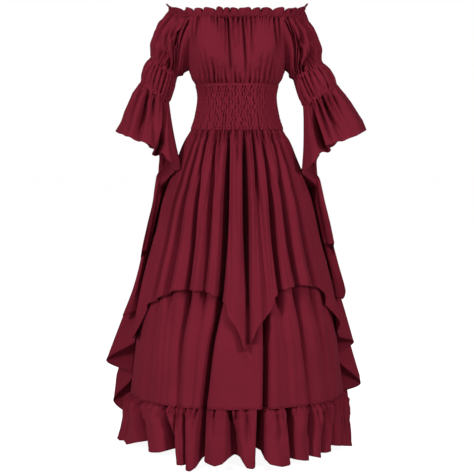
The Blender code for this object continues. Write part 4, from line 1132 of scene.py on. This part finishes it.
def outline(grid, side, part, sign, s, away):
    values = OUTLINE[side][part]
    extra = np.interp(s, np.linspace(0, 1, len(values)), values)[:, None] * MM
    outer = np.clip(sign * away[:, 0], 0, 1)[None, :] ** 1.5
    grid = grid.copy()
    grid += (extra * outer)[..., None] * away[None, :, :]
    return grid


# Deepest folds of the upper puffs: place round the tube at the neck and at the elastic (0 the
# inner side, a quarter the front), half the width as a share of the way round, and depth (mm)
# at the neck, a fifth and just over half of the way down, and at the elastic.
SLEEVE_VALLEYS = dict(
    right=[
        dict(neck=0.325, band=0.21, wide=0.012, deep=(14, 30, 28, 12)),
        dict(neck=0.420, band=0.39, wide=0.010, deep=(8, 17, 14, 5)),
        dict(neck=0.370, band=0.29, wide=0.010, deep=(8, 13, 9, 5)),
        dict(neck=0.295, band=0.12, wide=0.012, deep=(4, 14, 24, 16)),
    ],
    left=[
        dict(neck=0.335, band=0.23, wide=0.012, deep=(14, 28, 24, 10)),
        dict(neck=0.415, band=0.39, wide=0.010, deep=(8, 15, 14, 5)),
        dict(neck=0.370, band=0.30, wide=0.010, deep=(8, 13, 9, 5)),
        dict(neck=0.300, band=0.14, wide=0.012, deep=(6, 20, 26, 14)),
    ],
)


def sleeve(side, sign, columns, seed):
    count = int(round(columns * DETAIL))
    upper, elbow, _ = ARM[side]
    start = armhole_line(sign, count)
    turn = np.arange(count) * 360 / count
    facing = facing_out(start, BODY_RATIO)
    first, away = arm_ring(upper, sign, turn, -ELASTIC / 2)
    second, _ = arm_ring(upper, sign, turn, ELASTIC / 2)
    third, away_elbow = arm_ring(elbow, sign, turn, -ELASTIC / 2)
    fourth, _ = arm_ring(elbow, sign, turn, ELASTIC / 2 + 0.0005)
    u = np.arange(count) / count
    shares = spread(76)
    puff = rings_between(
        start, first, shares,
        lambda t: float(read(PUFF, "upper", t, by="t")) * (1.0 + 0.15 * math.sin(3.1 * t)),
        lambda t: blended(facing, away, t), 0.15,
    )
    puff = outline(np.array(puff), side, "puff", sign, shares, away)
    first, second, third, fourth = (
        outline(ring[None], side, part, sign, np.array([end]), direction)[0]
        for ring, part, end, direction in (
            (first, "puff", 1.0, away), (second, "middle", 0.0, away),
            (third, "middle", 1.0, away_elbow), (fourth, "bell", 0.0, away_elbow),
        )
    )
    band = np.array([first * (1 - t) + second * t for t in spread(9)[1:]])
    middle_shares = spread(36)[1:]
    middle = np.array(rings_between(
        second, third, middle_shares,
        lambda t: float(read(PUFF, "middle", t, by="t")),
        lambda t: away_elbow * np.clip(0.55 + 0.45 * sign * away_elbow[:, :1], 0.05, 1), 0.05,
    ))
    cuff = np.array([third * (1 - t) + fourth * t for t in spread(9)[1:]])
    # relief, part by part; s is the share of each part
    n_puff = len(shares)
    relief = []
    s = shares
    # the folds hang from the neck, leaning towards the body
    lean = 0.20 * np.exp(-(((u - 0.19) / 0.15) ** 2)) - 0.20 * np.exp(-(((u - 0.81) / 0.15) ** 2))
    leaning = u[None, :] + lean[None, :] * s[:, None] ** 0.9
    wrapped = leaning - np.floor(leaning)
    at_neck = smooth_step((wrapped - 0.255) / 0.03) * smooth_step((0.745 - wrapped) / 0.03)
    from_neck = tube_gathers(leaning, s, 46, seed, 0.0150, 0.36, 0.20, 1.5, 0.8)
    long_ones = tube_gathers(leaning, s, 34, seed + 2, 0.0200, 2.4, 0.16, 1.2, 0.25)
    long_ones += tube_gathers(leaning, s, 30, seed + 9, 0.0160, 0.9, 0.16, 1.4, 0.6)
    from_band = tube_gathers(u, 1 - s, 38, seed + 1, 0.0110, 0.20, 0.22, 1.5, 0.8)
    from_band += tube_gathers(leaning, 1 - s, 26, seed + 7, 0.0190, 0.70, 0.16, 1.5, 0.7)
    fade_ends = np.sin(math.pi * np.clip(s, 0, 1))[:, None] ** 0.35
    inner_side = np.exp(-(((u - np.round(u)) / 0.07) ** 2))[None, :]
    from_band = from_band * smooth_step(s / 0.15)[:, None] * (1 - 0.7 * inner_side)
    for valley in SLEEVE_VALLEYS[side]:
        at = valley["neck"] + (valley["band"] - valley["neck"]) * s[:, None] ** 0.9
        deep = np.interp(s, (0, 0.2, 0.55, 1.0), valley["deep"])[:, None] * MM
        near_seam = smooth_step((at - 0.27) / 0.03 + smooth_step((s[:, None] - 0.1) / 0.2))
        long_ones = long_ones - deep * near_seam * np.exp(-(np.abs((u[None, :] - at) / valley["wide"]) ** 2.4))
    relief.append((from_neck + long_ones * fade_ends) * at_neck + from_band)
    t_band = spread(9)[1:]
    pinched = tube_gathers(u, np.zeros(len(t_band)), 38, seed + 3, 0.0080, 1.0, 0.22, 1.0)
    relief.append(pinched - 0.0022 * np.sin(math.pi * t_band)[:, None])
    s = middle_shares
    down = tube_gathers(u, s, 22, seed + 4, 0.0130, 2.0, 0.15, 1.2, 0.4)
    up = tube_gathers(u, 1 - s, 34, seed + 5, 0.0070, 0.40, 0.22, 1.5, 0.8)
    down += tube_gathers(u, s, 34, seed + 8, 0.0070, 0.40, 0.22, 1.5, 0.8)
    relief.append(down + up)
    t_cuff = spread(9)[1:]
    pinched = tube_gathers(u, np.zeros(len(t_cuff)), 36, seed + 6, 0.0075, 1.0, 0.24, 1.0)
    relief.append(pinched * (0.5 + 0.5 * t_cuff)[:, None] - 0.0012 * np.sin(math.pi * t_cuff)[:, None])
    relief = np.concatenate(relief)
    grid = np.concatenate([puff, band, middle, cuff])
    hold = smooth_step(np.linspace(0, n_puff, len(grid)) / 2.0)[:, None]
    relief = blur(blur(relief * hold, 0.7 * DETAIL, axis=1, closed=True), 0.8 * DETAIL, axis=0)
    normal = normals_of(grid, True)
    normal[0] = facing
    grid = grid + relief[..., None] * normal
    return sheet_mesh("sleeve_" + side + "_cloth", grid, closed=True, thick=0)


def skirt_clear(grid, margin):
    z = grid[..., 2]
    width = read(SKIRT, "half_width", z) + margin
    depth = read(SKIRT, "half_depth", z) + margin
    inside = np.hypot(grid[..., 0] / width, grid[..., 1] / depth)
    push = np.where((z < SKIRT[0]["z"]) & (inside < 1), 1 / np.maximum(inside, 0.2), 1.0)
    grid = grid.copy()
    grid[..., 0] *= push
    grid[..., 1] *= push
    return grid


# Main valleys of the bells: turn round the arm at the elastic and the hem (degrees, 0 the
# inner end, 90 the front), half the width there, and depth (mm) along the bell.
BELL_VALLEYS = dict(
    right=[
        dict(top=34, hem=67, wide=6, wide_hem=3.6, deep=(10, 38, 56, 60, 46)),
        dict(top=84, hem=88, wide=4, wide_hem=7, deep=(6, 14, 8, 4, 2)),
        dict(top=111, hem=108, wide=4.5, wide_hem=8, deep=(10, 34, 32, 24, 12)),
        dict(top=148, hem=132, wide=4.5, wide_hem=9, deep=(8, 22, 20, 16, 9)),
        dict(top=215, hem=215, wide=4, wide_hem=10, deep=(3, 12, 18, 18, 16)),
        dict(top=270, hem=270, wide=4, wide_hem=10, deep=(3, 12, 18, 18, 16)),
    ],
    left=[
        dict(top=50, hem=64, wide=6, wide_hem=3.6, deep=(10, 40, 58, 60, 44)),
        dict(top=74, hem=80, wide=4.5, wide_hem=6, deep=(6, 18, 18, 14, 8)),
        dict(top=94, hem=104, wide=5, wide_hem=5.5, deep=(12, 38, 28, 9, 3)),
        dict(top=128, hem=130, wide=4, wide_hem=10, deep=(5, 11, 6, 3, 2)),
        dict(top=215, hem=215, wide=4, wide_hem=10, deep=(3, 12, 18, 18, 16)),
        dict(top=270, hem=270, wide=4, wide_hem=10, deep=(3, 12, 18, 18, 16)),
    ],
)
# The hem round the arm: how much higher or lower it ends, and further forward (mm).
BELL_HEM = dict(
    right=[
        dict(turn=-120, lift=16, front=0), dict(turn=-60, lift=10, front=10), dict(turn=-20, lift=0, front=30),
        dict(turn=0, lift=-3, front=42), dict(turn=30, lift=0, front=34), dict(turn=54, lift=8, front=10),
        dict(turn=62, lift=22, front=0), dict(turn=74, lift=19, front=0), dict(turn=82, lift=25, front=0),
        dict(turn=100, lift=17, front=0), dict(turn=130, lift=9, front=0), dict(turn=160, lift=2, front=0),
        dict(turn=180, lift=2, front=0), dict(turn=210, lift=14, front=0), dict(turn=240, lift=16, front=0),
    ],
    left=[
        dict(turn=-120, lift=20, front=0), dict(turn=-60, lift=12, front=10), dict(turn=-20, lift=0, front=30),
        dict(turn=0, lift=-2, front=42), dict(turn=30, lift=-4, front=34), dict(turn=52, lift=8, front=10),
        dict(turn=62, lift=32, front=0), dict(turn=80, lift=33, front=0), dict(turn=100, lift=17, front=0),
        dict(turn=130, lift=6, front=0), dict(turn=160, lift=3, front=0), dict(turn=176, lift=2, front=0),
        dict(turn=190, lift=3, front=0), dict(turn=210, lift=14, front=0), dict(turn=240, lift=20, front=0),
    ],
)


def bell_turns(count):
    """Turns round the bell (degrees), closest together near its front."""
    t = np.arange(count) / count
    return 360 * (t + 0.0875 * (np.sin(6.283185307 * (t + 0.207)) - np.sin(6.283185307 * 0.207)))


def bell_rows(side, sign, count, rows, seed, sleeve_seed):
    elbow, hem = ARM[side][1], ARM[side][2]
    turn = bell_turns(count)
    top, away = arm_ring(elbow, sign, turn, ELASTIC / 2 - 0.0005)
    end, end_away = arm_ring(hem, sign, turn)
    around = np.where(turn > 240, turn - 360, turn)
    plan = BELL_HEM[side]
    lift, front = (np.interp(around, [p["turn"] for p in plan], [p[key] for p in plan]) * MM for key in ("lift", "front"))
    lift, front = blur(lift[None], 1.2 * DETAIL, closed=True)[0], blur(front[None], 4.0 * DETAIL, closed=True)[0]
    u = turn / 360
    wobble = 0.9 * np.sin(np.radians(turn) * 2 + 1.0 + seed) + 0.6 * np.sin(np.radians(turn) * 3 + 2.2 * seed)
    flute = np.cos(np.radians(turn) * BELL_FLUTES + wobble)
    lines = []
    s = spread(rows)
    for t in s:
        flare = float(read(BELL, "flare", t, by="t"))
        deep = float(read(BELL, "flute", t, by="t"))
        fall = top * (1 - t) + end * t
        ring = fall + (end - top - (end.mean(axis=0) - top.mean(axis=0))) * (flare - t)
        out = away * (1 - t) + end_away * t
        ring = ring + 0.35 * deep * MM * flute[:, None] * out
        ring[:, 2] += lift * t
        ring[:, 1] -= front * t
        lines.append(ring)
    grid = outline(np.array(lines), side, "bell", sign, s, end_away)
    folds = tube_gathers(u, s, 36, sleeve_seed + 6, 0.0105, 0.34, 0.19, 1.6, 0.8)
    folds += tube_gathers(u, s, 12, seed + 12, 0.0130, 0.8, 0.09, 2.2, 0.8) * smooth_step(s / 0.08)[:, None]
    for valley in BELL_VALLEYS[side]:
        at = (valley["top"] * (1 - s) + valley["hem"] * s)[:, None] / 360
        x = u[None, :] - at
        x = x - np.round(x)
        wide = (valley["wide"] * (1 - s) + valley["wide_hem"] * s)[:, None] / 360
        deep = np.interp(s, (0, 0.12, 0.4, 0.75, 1.0), valley["deep"])[:, None] * MM
        folds = folds - deep * np.exp(-(np.abs(x / wide) ** 2.8))
    at_tip = np.exp(-(((turn - 178) / 22.0) ** 2))[None, :]
    folds = folds * (1 - 0.9 * at_tip * smooth_step(s / 0.5)[:, None])
    normal = normals_of(grid, True)
    normal[0] = away
    grid = grid + blur(folds, 0.7 * DETAIL, closed=True)[..., None] * normal
    return grid, end_away


def flounce(side, sign, columns, rows, seed, sleeve_seed):
    count = int(round(columns * DETAIL))
    grid, end_away = bell_rows(side, sign, count, rows, seed, sleeve_seed)
    grid = skirt_clear(grid, SKIRT_CLEAR - 0.003)
    bell = sheet_mesh("flounce_" + side + "_cloth", grid, closed=True)
    return bell, grid, end_away


# Folds of the hanging corners from above, from the inner edge to the back one: where each
# hangs from the bell's hem (turn), share of the way out (-1 tucked in beside the skirt, 0 to
# 1 the part that shows), place along Y (mm), and where its hem ends (mm).
TRAIN_PLAN = dict(
    right=[
        dict(turn=-2, out=-1.0, along=52, hem=-440), dict(turn=-6, out=-0.9, along=30, hem=-444),
        dict(turn=-11, out=0.0, along=-16, hem=-452), dict(turn=-28, out=0.5, along=-24, hem=-458),
        dict(turn=-54, out=1.0, along=-28, hem=-466), dict(turn=-58, out=0.86, along=6, hem=-480),
        dict(turn=-62, out=-0.6, along=26, hem=-640), dict(turn=-66, out=0.35, along=4, hem=-650),
        dict(turn=-70, out=0.98, along=10, hem=-657), dict(turn=-73, out=0.50, along=44, hem=-640),
        dict(turn=-76, out=-0.6, along=80, hem=-560),
    ],
    left=[
        dict(turn=-2, out=-1.0, along=50, hem=-420), dict(turn=-6, out=-0.9, along=30, hem=-424),
        dict(turn=-11, out=0.0, along=-16, hem=-436), dict(turn=-28, out=0.5, along=-22, hem=-438),
        dict(turn=-44, out=1.0, along=-26, hem=-434), dict(turn=-48, out=0.86, along=6, hem=-470),
        dict(turn=-51, out=-0.6, along=26, hem=-590), dict(turn=-54, out=0.35, along=4, hem=-606),
        dict(turn=-57, out=0.98, along=10, hem=-580), dict(turn=-60, out=0.50, along=44, hem=-560),
        dict(turn=-64, out=-0.6, along=80, hem=-520),
    ],
)


def train(side, sign, bell_grid, columns, rows, seed):
    hem = bell_grid[-1]
    count = len(hem)
    tilt = math.radians(ARM[side][2]["tilt"])
    down = np.array([sign * math.sin(tilt), 0.0, -math.cos(tilt)])
    plan = TRAIN_PLAN[side]
    knots = np.linspace(0, 1, len(plan))
    u = np.linspace(0, 1, int(round(columns * DETAIL)))
    out, along, end = (curve(knots, [fold[key] for fold in plan], u) for key in ("out", "along", "hem"))
    turns = np.append(bell_turns(count), 360.0) - 360.0
    places = np.interp(np.interp(u, knots, [fold["turn"] for fold in plan]), turns, np.arange(count + 1))
    low = np.floor(places).astype(int)
    share = (places - low)[:, None]
    top = hem[low % count] * (1 - share) + hem[(low + 1) % count] * share + 0.0006 * down
    v = level_rows(rows, 0.1)[:, None]
    z = top[None, :, 2] + (end[None, :] * MM - top[None, :, 2]) * v
    full = smooth_step((top[None, :, 2] - z) / 0.055)
    course = TRAIN_COURSE[side]
    near, far = read(course, "near", z), read(course, "far", z)
    near = near + (0.014 if side == "right" else 0.018) * smooth_step((z + 0.33) / 0.09)
    tucked = 0.020 + 0.012 * smooth_step((-0.28 - z) / 0.25)
    wrinkle = 0.0025 * ripple(u[None, :], v, seed, ((3.1, 1.0), (6.3, 0.7))) * smooth_step(v * 3)
    closing = 1 - 0.45 * smooth_step((-0.38 - z) / 0.11)
    along = np.where(along[None, :] > 0, along[None, :] * closing, along[None, :])
    y = read(course, "y", z) + along * MM + wrinkle
    share = np.clip(y / read(SKIRT, "half_depth", z), 0.0, 0.95)
    fall = read(SKIRT, "half_width", z) * (1 - np.sqrt(1 - share * share))
    side_way = np.where(out[None, :] < 0, near + tucked * out[None, :], near + (far - near) * out[None, :])
    x = sign * (side_way - 0.6 * fall + wrinkle)
    grid = np.stack([
        top[None, :, 0] * (1 - full) + x * full,
        top[None, :, 1] * (1 - full) + y * full,
        z,
    ], axis=-1)
    grid = np.concatenate([grid[:1], skirt_clear(grid[1:], SKIRT_CLEAR - 0.004)])
    return sheet_mesh("train_" + side + "_cloth", grid, turned=True)


# ---------------------------------------------------------------- neckline

def neckline(columns, rows, seed):
    count = int(round(columns * DETAIL))
    deg = np.arange(count) * 360 / count
    # equal steps round the neckline
    line = body_points(deg, np.full(count, Z_BODICE_TOP))
    line[:, 2] = [neck_level(d) for d in deg]
    line = resample(line, count)
    around = np.linalg.norm(np.roll(line, -1, axis=0) - line, axis=1).sum()
    u = np.arange(count) / count
    away = facing_out(line, (0.2 / 0.115) ** 2)
    frills = 36
    phase = 6.283 * (u * frills) + 1.6 * np.sin(6.283 * u * 5 + 1) + 1.1 * np.sin(6.283 * u * 11 + 2)
    wave = np.cos(phase) + 0.3 * np.sin(6.283 * u * 23 + 1.3)
    lobe = np.abs(np.cos(phase / 2)) ** 0.5
    tall = 0.5 + 0.5 * np.sin(6.283 * u * 29 + 2.0 * np.sin(6.283 * u * 5))
    pucker = np.sin(6.283 * u * 132 + 1.4 * np.sin(6.283 * u * 13))
    shoulder = np.exp(-(((np.abs(line[:, 0]) - 0.186) / 0.022) ** 2))
    # the seam allowance, inside the bodice and sleeves
    lines = [line - 0.010 * away - np.array([0, 0, 0.012])]
    for s in spread(rows):
        if s < 0.22:  # the casing, with the elastic inside it
            t = s / 0.22
            out = 0.0002 + (0.0022 + 0.0026 * pucker) * math.sin(math.pi * t) ** 0.6
            lift = np.zeros(count)
        else:  # the heading above it
            t = (s - 0.22) / 0.78
            out = -0.0006 + 0.0050 * t + (0.0066 + 0.0036 * tall) * t**0.6 * wave * (1 - 0.85 * shoulder) + 0.0022 * pucker * (1 - t)
            out = out + 0.0075 * t * shoulder
            lift = t * (0.0030 * tall * (1 - shoulder) + 0.0085 * (lobe - 0.75) * (1 - 0.6 * shoulder) - 0.0040 * shoulder)
        ring = line + away * np.broadcast_to(out, (count,))[:, None]
        hang = 0.0016 * (pucker + 0.7 * wave) * (1 - s) ** 2
        ring = ring + np.array([0, 0, 1.0]) * (s * (NECK_HEIGHT + 0.004) - 0.004 + lift + hang)[:, None]
        along = np.roll(line, -1, axis=0) - line
        along /= np.linalg.norm(along, axis=1, keepdims=True)
        ring = ring + along * (0.0026 * s * np.sin(phase))[:, None]
        lines.append(ring)
    return sheet_mesh("neck_casing_cloth", np.array(lines), closed=True, thick=0.0011), around


# ---------------------------------------------------------------- cloth

def make_cloth():
    material = bpy.data.materials.new("burgundy_cloth")
    material.use_nodes = True
    nodes, links = material.node_tree.nodes, material.node_tree.links
    shader = nodes["Principled BSDF"]
    shader.inputs["Roughness"].default_value = 0.9
    shader.inputs["Specular IOR Level"].default_value = 0.12
    shader.inputs["Sheen Weight"].default_value = 0.03
    shader.inputs["Sheen Roughness"].default_value = 0.45
    shader.inputs["Sheen Tint"].default_value = (0.75, 0.25, 0.32, 1)
    place = nodes.new("ShaderNodeTexCoord")
    cloudy = nodes.new("ShaderNodeTexNoise")
    cloudy.inputs["Scale"].default_value = 7.0
    cloudy.inputs["Detail"].default_value = 3.0
    links.new(place.outputs["Object"], cloudy.inputs["Vector"])
    tones = nodes.new("ShaderNodeValToRGB")
    tones.color_ramp.elements[0].position = 0.3
    tones.color_ramp.elements[0].color = DARK_TONE
    tones.color_ramp.elements[1].position = 0.7
    tones.color_ramp.elements[1].color = LIGHT_TONE
    links.new(cloudy.outputs["Fac"], tones.inputs["Fac"])
    links.new(tones.outputs["Color"], shader.inputs["Base Color"])
    # soft creases
    crease = nodes.new("ShaderNodeTexNoise")
    crease.inputs["Scale"].default_value = 26.0
    crease.inputs["Detail"].default_value = 2.0
    crease.inputs["Roughness"].default_value = 0.45
    stretch = nodes.new("ShaderNodeMapping")
    stretch.inputs["Scale"].default_value = (1.0, 1.0, 0.28)
    links.new(place.outputs["Object"], stretch.inputs["Vector"])
    links.new(stretch.outputs["Vector"], crease.inputs["Vector"])
    soft = nodes.new("ShaderNodeBump")
    soft.inputs["Strength"].default_value = 0.35
    soft.inputs["Distance"].default_value = 0.0035
    links.new(crease.outputs["Fac"], soft.inputs["Height"])
    # weave: threads both ways, 0.9 mm apart
    threads = []
    for axis in ("X", "Y"):
        wave = nodes.new("ShaderNodeTexWave")
        wave.bands_direction = axis
        wave.inputs["Scale"].default_value = 175.0
        wave.inputs["Distortion"].default_value = 0.6
        links.new(place.outputs["UV"], wave.inputs["Vector"])
        threads.append(wave)
    both = nodes.new("ShaderNodeMath")
    both.operation = "MULTIPLY"
    links.new(threads[0].outputs["Fac"], both.inputs[0])
    links.new(threads[1].outputs["Fac"], both.inputs[1])
    weave = nodes.new("ShaderNodeBump")
    weave.inputs["Strength"].default_value = 0.12
    weave.inputs["Distance"].default_value = 0.0003
    links.new(both.outputs["Value"], weave.inputs["Height"])
    links.new(soft.outputs["Normal"], weave.inputs["Normal"])
    links.new(weave.outputs["Normal"], shader.inputs["Normal"])
    return material


DARK_TONE = (0.154, 0.0094, 0.0222, 1)
LIGHT_TONE = (0.181, 0.0116, 0.0266, 1)


def write_bounds(store, key):
    lo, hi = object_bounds()
    store[key] = [[round(c, 5) for c in lo], [round(c, 5) for c in hi]]


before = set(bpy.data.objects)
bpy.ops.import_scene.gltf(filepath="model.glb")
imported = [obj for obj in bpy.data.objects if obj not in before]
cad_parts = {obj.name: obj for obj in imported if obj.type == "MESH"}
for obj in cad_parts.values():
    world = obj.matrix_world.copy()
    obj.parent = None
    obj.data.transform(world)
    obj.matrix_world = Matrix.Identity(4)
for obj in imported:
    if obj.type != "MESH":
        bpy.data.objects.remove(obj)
sizes = {}
write_bounds(sizes, "cad")
cloth = make_cloth()

made = {}
made["overskirt_front"] = overskirt("overskirt_front_cloth", FRONT_FOLDS, FRONT_HEM, False, 38, 88, 11)
made["overskirt_back"] = overskirt("overskirt_back_cloth", BACK_FOLDS, BACK_HEM, True, 24, 56, 23)
made["underskirt_front"] = underskirt("underskirt_front_cloth", FRONT_FOLDS, False, 24, 84, 31)
made["underskirt_back"] = underskirt("underskirt_back_cloth", BACK_FOLDS, True, 14, 48, 37)
made["hem_ruffle_front"] = ruffle("hem_ruffle_front_cloth", RUFFLE_FRONT, FRONT_FOLDS, False, 36, 35, 41)
made["hem_ruffle_back"] = ruffle("hem_ruffle_back_cloth", RUFFLE_BACK, BACK_FOLDS, True, 26, 24, 43)
made["bodice_front"] = bodice(True, 340, 96, 51)
made["bodice_back"] = bodice(False, 180, 50, 53)
made["waist_front"] = waist(True, 520, 88, 61)
made["waist_back"] = waist(False, 360, 66, 67)
for side, sign in (("right", -1), ("left", 1)):
    made["overskirt_side_" + side] = side_corner(side, sign, 150, 74, 71 + sign)
    made["sleeve_" + side] = sleeve(side, sign, 260, 81 + sign)
    made["flounce_" + side], bell_grid, _ = flounce(side, sign, 190, 44, 3 + sign, 81 + sign)
    made["train_" + side] = train(side, sign, bell_grid, 96, 62, 91 + sign)
made["neck_casing"], neck_round = neckline(720, 13, 95)

for node, piece in made.items():
    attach(piece, "root")
    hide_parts(node)

# ---------------------------------------------------------------- room and camera

FLOOR_Z = -1.0665


def plain_stage():
    size = 40.0
    data = bpy.data.meshes.new("floor")
    data.from_pydata(
        [(-size, -size, FLOOR_Z), (size, -size, FLOOR_Z), (size, size, FLOOR_Z), (-size, size, FLOOR_Z)],
        [],
        [(0, 1, 2, 3)],
    )
    floor = bpy.data.objects.new("floor", data)
    bpy.context.scene.collection.objects.link(floor)
    paint = bpy.data.materials.new("pale_floor")
    paint.use_nodes = True
    paint.node_tree.nodes["Principled BSDF"].inputs["Base Color"].default_value = (0.92, 0.92, 0.92, 1)
    paint.node_tree.nodes["Principled BSDF"].inputs["Roughness"].default_value = 1.0
    paint.node_tree.nodes["Principled BSDF"].inputs["Specular IOR Level"].default_value = 0.0
    paint.node_tree.nodes["Principled BSDF"].inputs["Emission Color"].default_value = (1, 1, 1, 1)
    seen = paint.node_tree.nodes.new("ShaderNodeLightPath")
    glow = paint.node_tree.nodes.new("ShaderNodeMath")
    glow.operation = "MULTIPLY"
    glow.inputs[1].default_value = 0.93
    paint.node_tree.links.new(seen.outputs["Is Camera Ray"], glow.inputs[0])
    paint.node_tree.links.new(glow.outputs["Value"], paint.node_tree.nodes["Principled BSDF"].inputs["Emission Strength"])
    data.materials.append(paint)
    floor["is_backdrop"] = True


def area_light(name, at, to, size, power, colour=(1, 1, 1)):
    light = bpy.data.lights.new(name, "AREA")
    light.shape = "RECTANGLE"
    light.size, light.size_y = size
    light.energy = power
    light.color = colour
    thing = bpy.data.objects.new(name, light)
    thing.location = at
    way = Vector(to) - Vector(at)
    thing.rotation_euler = way.to_track_quat("-Z", "Y").to_euler()
    bpy.context.scene.collection.objects.link(thing)
    return thing


plain_stage()
world = bpy.data.worlds.new("studio")
world.use_nodes = True
sky = world.node_tree.nodes["Background"]
seen = world.node_tree.nodes.new("ShaderNodeLightPath")
level = world.node_tree.nodes.new("ShaderNodeMapRange")
level.inputs["To Min"].default_value = 0.07
level.inputs["To Max"].default_value = 1.0
world.node_tree.links.new(seen.outputs["Is Camera Ray"], level.inputs["Value"])
world.node_tree.links.new(level.outputs["Result"], sky.inputs["Strength"])
sky.inputs["Color"].default_value = (1, 1, 1, 1)
bpy.context.scene.world = world
area_light("key", (-3.1, -3.3, 1.3), (0, 0, -0.45), (0.8, 1.4), 120)
area_light("fill", (3.1, -3.3, 1.0), (0, 0, -0.45), (0.8, 1.4), 95)
area_light("top", (0, -2.4, 3.0), (0, 0, -0.6), (0.8, 0.6), 30)

CAMERA_Y = -4.25
CAMERA_Z = -0.145
FOCAL_PX = 1416.7
PICTURE_PX = 474
DROP_PX = 91
lens = bpy.data.cameras.new("camera")
lens.sensor_width = 36.0
lens.lens = 36.0 * FOCAL_PX / PICTURE_PX
lens.clip_end = 60
camera = bpy.data.objects.new("camera", lens)
camera.location = (0, CAMERA_Y, CAMERA_Z)
camera.rotation_euler = (math.pi / 2 - math.atan(DROP_PX / FOCAL_PX), 0, 0)
bpy.context.scene.collection.objects.link(camera)
bpy.context.scene.camera = camera
bpy.context.scene.view_settings.view_transform = "Standard"
bpy.context.scene.view_settings.look = "None"

write_bounds(sizes, "scene")
